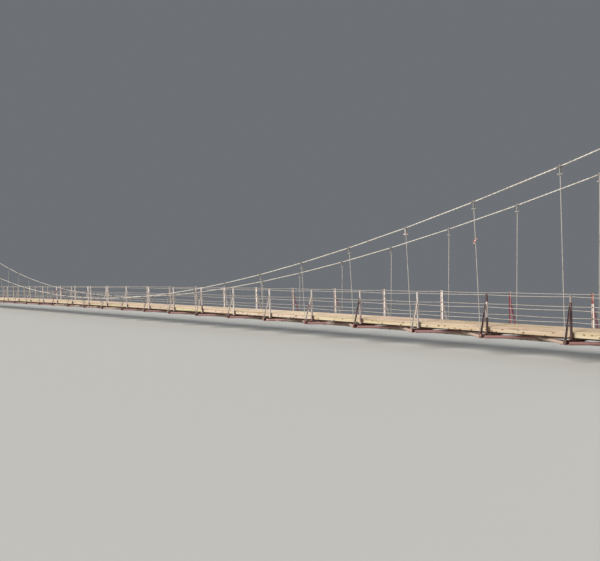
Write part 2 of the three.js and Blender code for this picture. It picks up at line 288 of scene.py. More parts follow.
def tinted(tree, colour, tint):
    return mixed(tree, 1.0, colour, tint, "MULTIPLY")


def split(tree, vector):
    return add_node(tree, "ShaderNodeSeparateXYZ", Vector=vector).outputs


def shifted(tree, where, by):
    return add_node(tree, "ShaderNodeVectorMath", {"operation": "ADD"}, i0=where, i1=by).outputs[0]


def resized(tree, where, factor):
    return add_node(tree, "ShaderNodeVectorMath", {"operation": "SCALE"}, i0=where, Scale=factor).outputs[0]


def stretched(tree, where, scale, offset=(0, 0, 0)):
    return add_node(tree, "ShaderNodeMapping", Vector=where, Scale=scale, Location=offset).outputs[0]


def noise(tree, where, scale, detail=4.0, roughness=0.6):
    feeds = {"Vector": where, "Scale": scale, "Detail": detail, "Roughness": roughness}
    return add_node(tree, "ShaderNodeTexNoise", **feeds).outputs[0]


def cells(tree, where, scale):
    """The distance to the nearest of many scattered points."""
    return add_node(tree, "ShaderNodeTexVoronoi", Vector=where, Scale=scale).outputs["Distance"]


def random_share(tree, number):
    """A random number from 0 to 1 for each value of the number that is fed in."""
    return add_node(tree, "ShaderNodeTexWhiteNoise", {"noise_dimensions": "1D"}, W=number).outputs["Value"]


print("sums and patterns ready")

# %% [markdown]
# ## Worn paint
# The steelwork was painted pale over a red undercoat, a long time ago. The paint has gone chalky, has worn
# away in patches and at the edges, and rust shows through. The group stacks these layers with noise at
# several sizes. `Redness` bares more of the undercoat, and `Darkness` lets more rust through, so that one
# group serves posts, beams, pipes and towers.

# %% Worn paint group
finish_outputs = [("Color", "Color"), ("Roughness", "Float"), ("Height", "Float")]
worn_inputs = [
    ("Where", "Vector", None),
    ("Paint", "Color", (0.6, 0.56, 0.52, 1)),
    ("Undercoat", "Color", (0.42, 0.13, 0.10, 1)),
    ("Rust", "Color", (0.076, 0.056, 0.062, 1)),
    ("Redness", "Float", 0.3),
    ("Darkness", "Float", 0.2),
    ("Scale", "Float", 1.0),
]


def give(tree, outputs, colour, roughness, height):
    """Feeds the three outputs that every finish has."""
    for label, value in (("Color", colour), ("Roughness", roughness), ("Height", height)):
        feed(tree, outputs[label], value)


worn, worn_in, worn_out = new_group("worn_paint", worn_inputs, finish_outputs)
where = resized(worn, worn_in["Where"], worn_in["Scale"])
patches = noise(worn, where, 7.0, 5.0, 0.65)
specks = noise(worn, where, 60.0, 3.0, 0.7)
streaks = noise(worn, stretched(worn, where, (30, 30, 2.5)), 1.0, 3.0)
rust_patches = noise(worn, stretched(worn, where, (1, 1, 1), (3.1, 1.7, 0.4)), 9.0, 6.0, 0.7)

rounded = add_node(worn, "ShaderNodeBevel", {"samples": 4}, Radius=mm(8)).outputs[0]
flat = add_node(worn, "ShaderNodeNewGeometry").outputs["Normal"]
agree = add_node(worn, "ShaderNodeVectorMath", {"operation": "DOT_PRODUCT"}, i0=rounded, i1=flat)
edge = stepped(worn, inverse(worn, agree.outputs["Value"]), 0.01, 0.16)
edge_wear = times(worn, edge, stepped(worn, specks, 0.35, 0.6))

red_level = weighted(worn, patches, 0.8, streaks, 0.2)
red_start = scaled(worn, worn_in["Redness"], -0.55, 0.78)
red_patches = stepped(worn, red_level, red_start, scaled(worn, red_start, 1.0, 0.10))
red_mask = maths(worn, "MAXIMUM", red_patches, times(worn, edge_wear, 0.55))
rust_level = weighted(worn, rust_patches, 0.7, specks, 0.3)
rust_start = scaled(worn, worn_in["Darkness"], -0.45, 0.72)
rust_mask = stepped(worn, rust_level, rust_start, scaled(worn, rust_start, 1.0, 0.07))

chalk = mixed(worn, streaks, worn_in["Paint"], tinted(worn, worn_in["Paint"], (1.5, 1.5, 1.5, 1)))
rust = mixed(worn, specks, worn_in["Rust"], tinted(worn, worn_in["Rust"], (1.9, 1.5, 1.2, 1)))
coat = mixed(worn, rust_mask, mixed(worn, red_mask, chalk, worn_in["Undercoat"]), rust)
relief = minus(worn, times(worn, specks, rust_mask), times(worn, red_mask, 0.3))
give(worn, worn_out, coat, scaled(worn, rust_mask, 0.35, 0.55), relief)
print("worn paint:", len(worn.nodes), "nodes")

# %% [markdown]
# ## Sawn timber
# The boards are pale pine, sawn and left bare. Grain runs along X, so the group squeezes its noise across
# the board and stretches it along. Each board has its own `Board` number, which shifts the pattern and
# changes the tone and hue, so that two neighbours never match. Knots are the middles of the scattered cells
# of a Voronoi texture.

# %% Sawn timber group
timber_inputs = [
    ("Where", "Vector", None),
    ("Board", "Float", 0.5),
    ("Pale", "Color", (0.72, 0.56, 0.35, 1)),
    ("Grain", "Color", (0.47, 0.31, 0.16, 1)),
    ("Knot", "Color", (0.16, 0.08, 0.04, 1)),
    ("Weather", "Float", 0.2),
    ("Knot size", "Float", 0.16),
]
timber, timber_in, timber_out = new_group("sawn_timber", timber_inputs, finish_outputs)
board = timber_in["Board"]
shift_feeds = {"X": times(timber, board, 37.0), "Y": times(timber, board, 11.0)}
board_shift = add_node(timber, "ShaderNodeCombineXYZ", **shift_feeds).outputs[0]
where = shifted(timber, timber_in["Where"], board_shift)
bend = add_node(timber, "ShaderNodeTexNoise", Vector=stretched(timber, where, (1.5, 6, 6)), Scale=1.0)
bent = mixed(timber, 0.06, where, bend.outputs["Color"], "ADD")
lines = noise(timber, stretched(timber, bent, (1.6, 95, 95)), 1.0, 3.0, 0.55)
bands = noise(timber, stretched(timber, bent, (0.5, 26, 26)), 1.0, 2.0, 0.5)
stain = noise(timber, stretched(timber, where, (2.2, 9, 9)), 1.0, 4.0)
knot_distance = cells(timber, stretched(timber, where, (12, 20, 20)), 1.0)
knot_core = times(timber, timber_in["Knot size"], 0.55)
knots = inverse(timber, stepped(timber, knot_distance, knot_core, timber_in["Knot size"]))

grain = stepped(timber, weighted(timber, lines, 0.55, bands, 0.45), 0.42, 0.66)
wood = mixed(timber, grain, timber_in["Pale"], timber_in["Grain"])
tone = mixed(timber, random_share(timber, board), (0.90, 0.87, 0.84, 1), (1.08, 1.06, 1.02, 1))
hue_share = random_share(timber, maths(timber, "ADD", board, 3.7))
hue = mixed(timber, hue_share, (0.98, 1.01, 0.90, 1), (1.04, 0.955, 1.08, 1))
wood = tinted(timber, tinted(timber, wood, tone), hue)
stained = times(timber, stepped(timber, stain, 0.45, 0.7), timber_in["Weather"])
wood = mixed(timber, stained, wood, (0.27, 0.19, 0.12, 1))
wood = mixed(timber, times(timber, knots, 0.85), wood, timber_in["Knot"])
give(timber, timber_out, wood, scaled(timber, lines, 0.2, 0.7), minus(timber, lines, knots))
print("sawn timber:", len(timber.nodes), "nodes")

# %% [markdown]
# ## Cast concrete
# The abutments and anchor blocks were cast between boards. The group draws the board joints as thin lines
# at even heights, small blow holes darkened as painted shade, rain streaks that run down from the top edges,
# and soft blotches.

# %% Cast concrete group
concrete_inputs = [
    ("Where", "Vector", None),
    ("Board height", "Float", mm(180)),
    ("Stain", "Float", 0.5),
]
cast, cast_in, cast_out = new_group("cast_concrete", concrete_inputs, finish_outputs)
where = cast_in["Where"]
blotches = noise(cast, where, 3.0, 5.0, 0.6)
grit = noise(cast, where, 120.0, 3.0, 0.7)
rain = noise(cast, stretched(cast, where, (9, 9, 0.8)), 1.0, 4.0)
boards_up = maths(cast, "DIVIDE", split(cast, where)["Z"], cast_in["Board height"])
from_seam = maths(cast, "PINGPONG", maths(cast, "FRACT", boards_up), 0.5)
seam = inverse(cast, stepped(cast, from_seam, 0.0, 0.05))
pits = inverse(cast, stepped(cast, cells(cast, where, 38.0), 0.08, 0.16))
wet = times(cast, stepped(cast, rain, 0.5, 0.72), cast_in["Stain"])

stone = mixed(cast, stepped(cast, blotches, 0.35, 0.7), (0.36, 0.34, 0.31, 1), (0.52, 0.50, 0.46, 1))
stone = mixed(cast, times(cast, grit, 0.25), stone, (0.62, 0.60, 0.56, 1))
stone = mixed(cast, wet, stone, (0.14, 0.13, 0.11, 1))
# The board joints are drawn darker, and the blow holes are darkened as painted shade.
joint_lines_and_pit_shade = times(cast, maths(cast, "MAXIMUM", seam, pits), 0.5)
stone = mixed(cast, joint_lines_and_pit_shade, stone, (0.20, 0.19, 0.17, 1))
relief = minus(cast, times(cast, grit, 0.3), maths(cast, "ADD", seam, pits))
give(cast, cast_out, stone, scaled(cast, grit, 0.15, 0.8), relief)
print("cast concrete:", len(cast.nodes), "nodes")

# %% [markdown]
# ## Painted steel
# A material places a group with its own values and keeps its own shader. Where a piece repeats, each copy
# carries a `look` attribute of three numbers: how red it is, how dark or rusty, and a number of its own.
# The single solid pieces have no such attribute, so their paints set these values outright. The posts need
# more: the photograph shows paint, undercoat and rust in bands, so two more attributes say where an upper
# and a lower band start, measured in the post's own height.

# %% Painted steel
def object_place(tree):
    return add_node(tree, "ShaderNodeTexCoord").outputs["Object"]


def attribute(tree, name, kind="Vector"):
    return add_node(tree, "ShaderNodeAttribute", {"attribute_name": name}).outputs[kind]


def look_of(tree):
    """The look attribute's three numbers, and the object place shifted by the third."""
    look = split(tree, attribute(tree, "look"))
    return look["X"], look["Y"], look["Z"], shifted(tree, object_place(tree), times(tree, look["Z"], 5.0))


def finished(tree, shader, outputs, bump, gloss, colour=None):
    """Feeds a group's outputs to the shader, its height as a bump. A colour takes the place of its own."""
    relief = add_node(tree, "ShaderNodeBump", Height=outputs["Height"], Strength=0.6, Distance=mm(bump))
    feed(tree, shader.inputs["Base Color"], colour or outputs["Color"])
    feed(tree, shader.inputs["Roughness"], outputs["Roughness"])
    feed(tree, shader.inputs["Normal"], relief.outputs[0])
    shader.inputs["Specular IOR Level"].default_value = gloss


def painted_steel(name, paint, undercoat, redness=None, darkness=None, scale=1.0):
    """Old paint on steel. Without a redness and darkness of its own it reads each copy's look."""
    material, tree, shader = new_material(name)
    if redness is None:
        redness, darkness, _, place = look_of(tree)
    else:
        place = object_place(tree)
    feeds = {"Where": place, "Redness": redness, "Darkness": darkness, "Scale": scale}
    outputs = placed_group(tree, worn, Paint=(*paint, 1), Undercoat=(*undercoat, 1), **feeds)
    finished(tree, shader, outputs, 3, 0.35)
    return material


def towards(tree, share, start, end):
    """A number that goes from start to end as the share goes from 0 to 1."""
    return maths(tree, "MULTIPLY_ADD", share, minus(tree, end, start), start)


def banded_steel(name, paint, undercoat):
    """Old paint on posts. The marks `tip` and `foot` hold the redness, darkness and height of an upper and a
    lower band of wear, and look holds the redness and darkness between them, and how chalky the paint is."""
    material, tree, shader = new_material(name)
    red, dark, chalky, place = look_of(tree)
    ragged = scaled(tree, noise(tree, place, 25.0, 3.0), mm(160), -mm(80))
    height = maths(tree, "ADD", split(tree, attribute(tree, "local"))["Z"], ragged)
    for label in ("foot", "tip"):
        band = split(tree, attribute(tree, label))
        share = stepped(tree, minus(tree, height, band["Z"]), -mm(12), mm(12))
        if label == "foot":
            share = inverse(tree, share)
        red = towards(tree, share, red, band["X"])
        dark = towards(tree, share, dark, band["Y"])
    coat = mixed(tree, chalky, (*paint, 1), (0.72, 0.655, 0.615, 1))
    faded = mixed(tree, times(tree, chalky, 0.5), (*undercoat, 1), (0.54, 0.32, 0.18, 1))
    feeds = {"Where": place, "Redness": red, "Darkness": dark, "Paint": coat, "Undercoat": faded}
    finished(tree, shader, placed_group(tree, worn, **feeds), 3, 0.35)
    return material


rail_paint = painted_steel("rail_paint", (0.46, 0.42, 0.38), (0.30, 0.118, 0.150))
post_paint = banded_steel("post_paint", (0.22, 0.19, 0.185), (0.30, 0.118, 0.155))
beam_paint = painted_steel("beam_paint", (0.40, 0.27, 0.25), (0.22, 0.08, 0.07))
pipe_paint = painted_steel("pipe_paint", (0.36, 0.275, 0.225), (0.28, 0.150, 0.140))
keel_paint = painted_steel("keel_paint", (0.27, 0.235, 0.175), (0.13, 0.10, 0.065))
lug_paint = painted_steel("lug_paint", (0.34, 0.22, 0.19), (0.16, 0.05, 0.045))
fitting_paint = painted_steel("fitting_paint", (0.50, 0.44, 0.40), (0.32, 0.10, 0.08))
tower_paint = painted_steel("tower_paint", (0.56, 0.50, 0.46), (0.36, 0.11, 0.09), 0.85, 0.35, 0.8)
saddle_paint = painted_steel("saddle_paint", (0.30, 0.22, 0.19), (0.20, 0.09, 0.07), 0.8, 0.8, 1.6)
print("materials:", len(bpy.data.materials))

# %% [markdown]
# ## Pine and concrete
# The upright faces of the edge boards are the brightest thing in the photograph, the deck's top is duller,
# and the planks are greyer near the camera than far off. So a pine material can darken its upright faces by
# where the surface points, which is painted shade, and can stain less and tint its tops paler and cooler
# away from the right tower. Both depend on the object alone, not on the camera, so they hold from every
# side.

# %% Pine and concrete
def pine(name, pale, grain_tone, weather, far_weather=None, knot_size=0.16, sides=1.0):
    """Timber whose stain goes from `weather` near the right tower to far_weather away from it, where its
    tops are tinted paler and cooler, if it has a far_weather, and whose upright faces are darkened to
    `sides`, a painted shade."""
    material, tree, shader = new_material(name)
    _, _, board, _ = look_of(tree)
    place = object_place(tree)
    far_top_tint = (1, 1, 1, 1)
    if far_weather is not None:
        near = stepped(tree, split(tree, place)["X"], mm(TOWER_X * 0.55), mm(TOWER_X * 0.85))
        weather = scaled(tree, near, weather - far_weather, far_weather)
        far_top_tint = mixed(tree, near, (1.22, 1.24, 1.32, 1), (1, 1, 1, 1))
    feeds = {"Where": place, "Board": board, "Weather": weather, "Knot_size": knot_size}
    outputs = placed_group(tree, timber, Pale=(*pale, 1), Grain=(*grain_tone, 1), **feeds)
    # Faces that do not point up are darkened to `sides`, which is painted shade. Tops away from the right
    # tower take the paler tint.
    upward = split(tree, add_node(tree, "ShaderNodeNewGeometry").outputs["Normal"])["Z"]
    shade = mixed(tree, stepped(tree, upward, 0.3, 0.8), (sides, sides, sides, 1), far_top_tint)
    finished(tree, shader, outputs, 2, 0.25, tinted(tree, outputs["Color"], shade))
    return material


def concrete(name, stain):
    material, tree, shader = new_material(name)
    finished(tree, shader, placed_group(tree, cast, Where=object_place(tree), Stain=stain), 4, 0.5)
    return material


# The planks' upright faces keep 0.62 of their colour: painted shade.
plank_pine = pine("plank_pine", (0.80, 0.67, 0.50), (0.56, 0.42, 0.28), 0.6, far_weather=0.15, sides=0.62)
edge_pine = pine("edge_pine", (0.56, 0.505, 0.385), (0.46, 0.37, 0.25), 0.12, knot_size=0.34)
# The stringers and sleepers are dark old pine, made darker still as painted shade under the deck.
shade_darkened_bearer_wood = pine("shade_darkened_bearer_wood", (0.05, 0.037, 0.025), (0.025, 0.019, 0.013), 0.5)
cleat_pine = pine("cleat_pine", (0.15, 0.10, 0.065), (0.08, 0.05, 0.03), 0.6)
block_concrete = concrete("block_concrete", 0.5)
print("materials:", len(bpy.data.materials))

# %% [markdown]
# ## Wire rope, galvanised fittings and tape
# The main cables are pale with old zinc and dust. Fine strands wind round them far below what a mesh can
# show, so they are a bump whose stripes follow two attributes that the sweep leaves on the surface: `run`,
# the length along the rope, and `around`, from 0 to 1 round it. The grooves between the strands are painted
# in a darker tone as shade. Fittings get a spangled zinc finish. The barrier tape is plastic film with
# slanting stripes, which are read from the drawn shape's own place.

# %% Zinc and tape materials
STRANDS = 12


def zinc(name, tone, dirt_and_groove_shade, metallic, strand_pitch=None):
    material, tree, shader = new_material(name)
    place = object_place(tree)
    cloud = noise(tree, place, 9.0, 5.0, 0.65)
    height = noise(tree, place, 180.0, 2.0, 0.6)
    colour = mixed(tree, stepped(tree, cloud, 0.45, 0.72), (*tone, 1), (*dirt_and_groove_shade, 1))
    colour = mixed(tree, times(tree, height, 0.35), colour, (0.85, 0.83, 0.78, 1))
    if strand_pitch:
        along = maths(tree, "DIVIDE", attribute(tree, "run", "Fac"), mm(strand_pitch))
        turns = maths(tree, "ADD", along, times(tree, attribute(tree, "around", "Fac"), STRANDS))
        height = scaled(tree, maths(tree, "SINE", times(tree, turns, 2 * math.pi)), 0.5, 0.5)
        # The grooves between the strands take the darker tone: painted shade between the strands.
        colour = mixed(tree, stepped(tree, height, 0.0, 0.45), (*dirt_and_groove_shade, 1), colour)
    relief = add_node(tree, "ShaderNodeBump", Height=height, Strength=0.5, Distance=mm(2))
    feed(tree, shader.inputs["Base Color"], colour)
    feed(tree, shader.inputs["Normal"], relief.outputs[0])
    feed(tree, shader.inputs["Roughness"], scaled(tree, cloud, 0.3, 0.45))
    shader.inputs["Metallic"].default_value = metallic
    return material


def striped_tape(name, pale, red, pitch):
    material, tree, shader = new_material(name)
    local = split(tree, attribute(tree, "local"))
    slant = maths(tree, "DIVIDE", maths(tree, "ADD", local["Z"], local["X"]), mm(pitch))
    stripe = stepped(tree, maths(tree, "PINGPONG", slant, 0.5), 0.22, 0.28)
    feed(tree, shader.inputs["Base Color"], mixed(tree, stripe, (*pale, 1), (*red, 1)))
    shader.inputs["Roughness"].default_value = 0.4
    return material


rope_steel = zinc("rope_steel", (0.80, 0.76, 0.68), (0.38, 0.33, 0.28), 0.2, 36)
wire_steel = zinc("wire_steel", (0.58, 0.53, 0.48), (0.34, 0.28, 0.24), 0.2, 14)
fitting_zinc = zinc("fitting_zinc", (0.19, 0.18, 0.17), (0.08, 0.06, 0.05), 0.4)
rod_steel = zinc("rod_steel", (0.44, 0.41, 0.36), (0.26, 0.20, 0.17), 0.3)
socket_zinc = zinc("socket_zinc", (0.34, 0.33, 0.31), (0.16, 0.12, 0.10), 0.5)
nail_steel = zinc("nail_steel", (0.16, 0.13, 0.11), (0.22, 0.12, 0.07), 0.5)
tape_film = striped_tape("barrier_tape", (0.62, 0.46, 0.41), (0.30, 0.085, 0.085), 110)
print("materials:", len(bpy.data.materials))

# %% [markdown]
# ## Drawing a shape
# A suspension bridge is a few shapes made many times: 48 hangers, 52 posts, hundreds of boards, over a
# thousand nails. Each shape is drawn once in mesh code, in real millimetres, from closed skins: boxes, rods,
# cones and outlines pushed to a length. `drawn` scales it to the model, turns its faces outwards and cuts
# its sharp edges off, because a real edge always catches a line of light.

# %% Closed skins
BEVELLED_OVER = 50
SHARP_OVER = 35


def add_skin(shape, rings):
    """A closed skin over rings of points, with a face over each end."""
    rows = [[shape.verts.new(point) for point in ring] for ring in rings]
    shape.faces.new(rows[0][::-1])
    shape.faces.new(rows[-1])
    for low, high in zip(rows, rows[1:]):
        for i in range(len(low)):
            j = (i + 1) % len(low)
            shape.faces.new((low[i], low[j], high[j], high[i]))


def add_prism(shape, points, low, high, place=Matrix()):
    """An outline in X and Y, pushed up from low to high, and then placed."""
    add_skin(shape, [[place @ Vector((x, y, z)) for x, y in points] for z in (low, high)])


def add_box(shape, low, high):
    corners = [(low[0], low[1]), (high[0], low[1]), (high[0], high[1]), (low[0], high[1])]
    add_prism(shape, corners, low[2], high[2])


def ring_points(radius, sides):
    angles = [2 * math.pi * i / sides for i in range(sides)]
    return [(radius * math.cos(angle), radius * math.sin(angle)) for angle in angles]


def add_cone(shape, start, end, start_radius, end_radius, sides):
    start, end = Vector(start), Vector(end)
    place = Matrix.Translation(start) @ (end - start).to_track_quat("Z", "Y").to_matrix().to_4x4()
    rings = []
    for radius, along in ((start_radius, 0), (end_radius, (end - start).length)):
        rings.append([place @ Vector((x, y, along)) for x, y in ring_points(radius, sides)])
    add_skin(shape, rings)


def add_rod(shape, start, end, radius, sides):
    add_cone(shape, start, end, radius, radius, sides)


def add_pin(shape, x, y, low, high, radius, sides=6):
    """An upright pin. With six sides it is a nut or the head of a bolt."""
    add_rod(shape, (x, y, low), (x, y, high), radius, sides)


def smoothed(mesh, sharp_over):
    for face in mesh.polygons:
        face.use_smooth = True
    mesh.set_sharp_from_angle(angle=math.radians(sharp_over))
    return mesh


def drawn(name, shape, bevel=0):
    """The finished mesh of a shape: in the model's metres, normals outwards, sharp edges cut off."""
    shape.transform(Matrix.Scale(mm(1), 4))
    bmesh.ops.recalc_face_normals(shape, faces=shape.faces)
    if bevel:
        limit = math.radians(BEVELLED_OVER)
        sharp = [edge for edge in shape.edges if edge.is_manifold and edge.calc_face_angle(0) > limit]
        bmesh.ops.bevel(shape, geom=sharp, offset=mm(bevel), segments=1, affect="EDGES", clamp_overlap=True)
    mesh = bpy.data.meshes.new(name)
    shape.to_mesh(mesh)
    shape.free()
    return smoothed(mesh, SHARP_OVER)


print("drawing tools ready")

# %% [markdown]
# ## Copies on marks
# A set of marks says where a shape's copies go: one vertex per copy, with its turn, stretch and look as
# attributes. Copies could also be linked objects or an Array modifier, but marks let each copy lean, wear
# and stretch on its own. A Geometry Nodes tree puts the shape on the marks, keeps each point's place in the
# drawn shape as `local`, makes the copies real and gives them their finish. So a whole set is one plain
# mesh.

# %% The copies tree
def stored(tree, geometry, name, value, data_type="FLOAT_VECTOR", domain="POINT"):
    """The geometry with a value stored on it under a name."""
    settings = {"data_type": data_type, "domain": domain}
    feeds = {"Geometry": geometry, "Name": name, "Value": value}
    return add_node(tree, "GeometryNodeStoreNamedAttribute", settings, **feeds).outputs[0]


def read_mark(tree, name):
    settings = {"data_type": "FLOAT_VECTOR"}
    return add_node(tree, "GeometryNodeInputNamedAttribute", settings, Name=name).outputs[0]


def coated(tree, geometry, finish):
    """The two nodes that end each tree: instances made real, and the finish given to them."""
    real = add_node(tree, "GeometryNodeRealizeInstances", i0=geometry).outputs[0]
    return add_node(tree, "GeometryNodeSetMaterial", Geometry=real, Material=finish).outputs[0]


copy_inputs = [("Marks", "Geometry", None), ("Shape", "Object", None), ("Finish", "Material", None)]
copy_group = new_group("copies_on_marks", copy_inputs, [("Copies", "Geometry")], "GeometryNodeTree")
copies, copies_in, copies_out = copy_group
pattern = add_node(copies, "GeometryNodeObjectInfo", i0=copies_in["Shape"]).outputs["Geometry"]
own_place = add_node(copies, "GeometryNodeInputPosition").outputs[0]
turned = add_node(copies, "FunctionNodeEulerToRotation", i0=read_mark(copies, "turn")).outputs[0]
put_feeds = {"Points": copies_in["Marks"], "Instance": stored(copies, pattern, "local", own_place)}
put_feeds |= {"Rotation": turned, "Scale": read_mark(copies, "stretch")}
put = add_node(copies, "GeometryNodeInstanceOnPoints", **put_feeds).outputs[0]
feed(copies, copies_out["Copies"], coated(copies, put, copies_in["Finish"]))
print("copies tree:", len(copies.nodes), "nodes")

# %% [markdown]
# ### From marks to a piece
# `made_real` runs any of the trees on a start mesh and turns the result into a plain mesh, with the modifier
# gone. `copied` feeds it a set of marks, and `new_piece` joins the meshes of a piece, such as the pipes,
# plates and bolts of the wind bracing, and tells the frame what the piece rides on and replaces.

# %% From marks to a piece
def set_inputs(modifier, values):
    """Sets a modifier's inputs, which are stored under each socket's identifier."""
    for item in modifier.node_group.interface.items_tree:
        if item.item_type == "SOCKET" and item.in_out == "INPUT" and item.name in values:
            modifier[item.identifier] = values[item.name]


def made_real(name, start_mesh, tree, values):
    """Runs a tree on a mesh and returns the result as a plain mesh."""
    thing = added(name, start_mesh)
    modifier = thing.modifiers.new("maker", "NODES")
    modifier.node_group = tree
    set_inputs(modifier, values)
    evaluated = thing.evaluated_get(bpy.context.evaluated_depsgraph_get())
    mesh = bpy.data.meshes.new_from_object(evaluated)
    bpy.data.objects.remove(thing)
    return mesh


def mark(place, turn=(0, 0, 0), stretch=(1, 1, 1), look=(0.3, 0.2, 0.5), **more):
    """A place in real millimetres, with the turn, stretch and look of the copy that goes there."""
    scaled_place = tuple(mm(number) for number in place)
    return {"place": scaled_place, "turn": turn, "stretch": stretch, "look": look} | more


def copied(name, shape_mesh, marks, material):
    """One mesh of all the copies of a shape on its marks."""
    points = bpy.data.meshes.new(name + "_marks")
    points.from_pydata([one["place"] for one in marks], [], [])
    for label in [key for key in marks[0] if key != "place"]:
        numbers = points.attributes.new(label, "FLOAT_VECTOR", "POINT")
        numbers.data.foreach_set("vector", [number for one in marks for number in one[label]])
    shape = added(name + "_shape", shape_mesh)
    mesh = made_real(name, points, copies, {"Shape": shape, "Finish": material})
    bpy.data.objects.remove(shape)
    for label in ("turn", "stretch"):
        mesh.attributes.remove(mesh.attributes[label])
    return mesh


def new_piece(name, meshes, replaced=()):
    """Joins meshes into a piece, which rides on the one body and may replace solid pieces."""
    things = [added(name, mesh) for mesh in meshes]
    if len(things) > 1:
        with bpy.context.temp_override(active_object=things[0], selected_editable_objects=things):
            bpy.ops.object.join()
    piece = things[0]
    piece.data.name = name
    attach(piece, "root")
    if replaced:
        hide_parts(*replaced)


print("piece tools ready")

# %% [markdown]
# ## Deck planks
# Eight pine planks lie side by side along each bay, with thin gaps, and their ends meet over a crossbeam.
# They could be modelled one by one or with an Array modifier, but each should differ a little and all must
# follow the camber. So a tree lays one drawn plank on a grid of points, varies its width and thickness with
# a fixed seed, and lifts every vertex by the deck's own parabola, which tilts each plank to its bay.

# %% Plank rows tree
PLANKS_ACROSS = 8
BAYS_PER_SECTION = 5
PLANK_GAP = 4
plank_pitch = 2 * DECK_HALF_WIDTH / PLANKS_ACROSS
row_inputs = [
    ("Start", "Geometry", None),
    ("Plank", "Object", None),
    ("Finish", "Material", None),
    ("First bay line", "Float", 0.0),
    ("Bay length", "Float", mm(BAY)),
    ("Bays", "Int", BAYS_PER_SECTION),
    ("Planks across", "Int", PLANKS_ACROSS),
    ("Plank pitch", "Float", mm(plank_pitch)),
    ("Half span", "Float", mm(TOWER_X)),
    ("End height", "Float", mm(DECK_END_Z)),
    ("Camber", "Float", mm(CAMBER)),
    ("Seed", "Int", 1),
]


def random_vector(tree, low, high, seed):
    settings = {"data_type": "FLOAT_VECTOR"}
    return add_node(tree, "FunctionNodeRandomValue", settings, i0=low, i1=high, Seed=seed).outputs[0]


def moved(tree, geometry, offset):
    return add_node(tree, "GeometryNodeSetPosition", Geometry=geometry, Offset=offset).outputs[0]


rows, row_in, row_out = new_group("plank_rows", row_inputs, [("Planks", "Geometry")], "GeometryNodeTree")
size_x = times(rows, row_in["Bay length"], minus(rows, row_in["Bays"], 1.0))
size_y = times(rows, row_in["Plank pitch"], minus(rows, row_in["Planks across"], 1.0))
grid_feeds = {"i0": size_x, "i1": size_y, "i2": row_in["Bays"], "i3": row_in["Planks across"]}
grid = add_node(rows, "GeometryNodeMeshGrid", **grid_feeds).outputs[0]
half_bays = times(rows, row_in["Bays"], 0.5)
middle = maths(rows, "MULTIPLY_ADD", half_bays, row_in["Bay length"], row_in["First bay line"])
places = moved(rows, grid, add_node(rows, "ShaderNodeCombineXYZ", X=middle).outputs[0])
plank = add_node(rows, "GeometryNodeObjectInfo", i0=row_in["Plank"]).outputs["Geometry"]
vary = random_vector(rows, (1.0, 0.965, 0.94), (1.0, 1.0, 1.0), row_in["Seed"])
laid = add_node(rows, "GeometryNodeInstanceOnPoints", Points=places, Instance=plank, Scale=vary).outputs[0]
own_number = random_vector(rows, (0, 0, 0), (0, 0, 1), maths(rows, "ADD", row_in["Seed"], 7.0))
laid = stored(rows, laid, "look", own_number, domain="INSTANCE")
real = add_node(rows, "GeometryNodeRealizeInstances", i0=laid).outputs[0]

along = split(rows, add_node(rows, "GeometryNodeInputPosition").outputs[0])["X"]
span_share = maths(rows, "DIVIDE", along, row_in["Half span"])
ratio = maths(rows, "MINIMUM", maths(rows, "ABSOLUTE", span_share), 1.0)
fall = times(rows, times(rows, ratio, ratio), row_in["Camber"])
height = minus(rows, maths(rows, "ADD", row_in["End height"], row_in["Camber"]), fall)
lifted = moved(rows, real, add_node(rows, "ShaderNodeCombineXYZ", Z=height).outputs[0])
feed(rows, row_out["Planks"], coated(rows, lifted, row_in["Finish"]))
print("plank rows tree:", len(rows.nodes), "nodes")

# %% [markdown]
# ### Laying the planks
# A section is five bays, like the solid piece that it replaces. At the deck's two ends, two boards lie
# across it where it runs onto the abutment, so the first and last sections get them as well.

# %% Lay the planks
SECTIONS = range(1, BAY_COUNT // BAYS_PER_SECTION + 1)
THRESHOLD_HALF = 73


def plank_shape():
    shape = bmesh.new()
    reach, half = BAY / 2 - 1.5, (plank_pitch - PLANK_GAP) / 2
    add_box(shape, (-reach, -half, -PLANK_THICKNESS), (reach, half, 0))
    return drawn("plank", shape, bevel=3)


def threshold_shape():
    shape = bmesh.new()
    corner = Vector((THRESHOLD_HALF, DECK_HALF_WIDTH, 0))
    add_box(shape, -corner - Vector((0, 0, PLANK_THICKNESS)), corner)
    return drawn("threshold_board", shape, bevel=3)


def threshold_boards(end):
    marks = []
    for past_tower, own_number in ((75, 0.3), (225, 0.5)):
        marks.append(mark((end * (TOWER_X + past_tower), 0, DECK_END_Z), look=(0, 0, own_number)))
    return copied("thresholds", threshold_shape(), marks, plank_pine)


def bays_of(section):
    first = (section - 1) * BAYS_PER_SECTION
    return range(first, first + BAYS_PER_SECTION)


for section in SECTIONS:
    plank = added("plank_shape", plank_shape())
    values = {"Plank": plank, "Finish": plank_pine, "Seed": section}
    values["First bay line"] = mm(bay_x(bays_of(section)[0]))
    meshes = [made_real("planks", bpy.data.meshes.new("start"), rows, values)]
    bpy.data.objects.remove(plank)
    if section in (SECTIONS[0], SECTIONS[-1]):
        meshes.append(threshold_boards(-1 if section == SECTIONS[0] else 1))
    new_piece(f"deck_planks_{section}", meshes, [f"deck_section_{section}"])
print("planks in a section:", PLANKS_ACROSS * BAYS_PER_SECTION)

# %% [markdown]
# ## Edge boards, stringers and sleepers
# Under the planks stand two edge boards, one at each side, and three stringers, each one bay long, and a
# thick sleeper lies over every crossbeam. The near edge boards are what the photograph shows best: a pale
# stripe of knotty pine with a joint at each hanger. They are copies on marks, and each mark pitches its
# board to the slope of its bay.

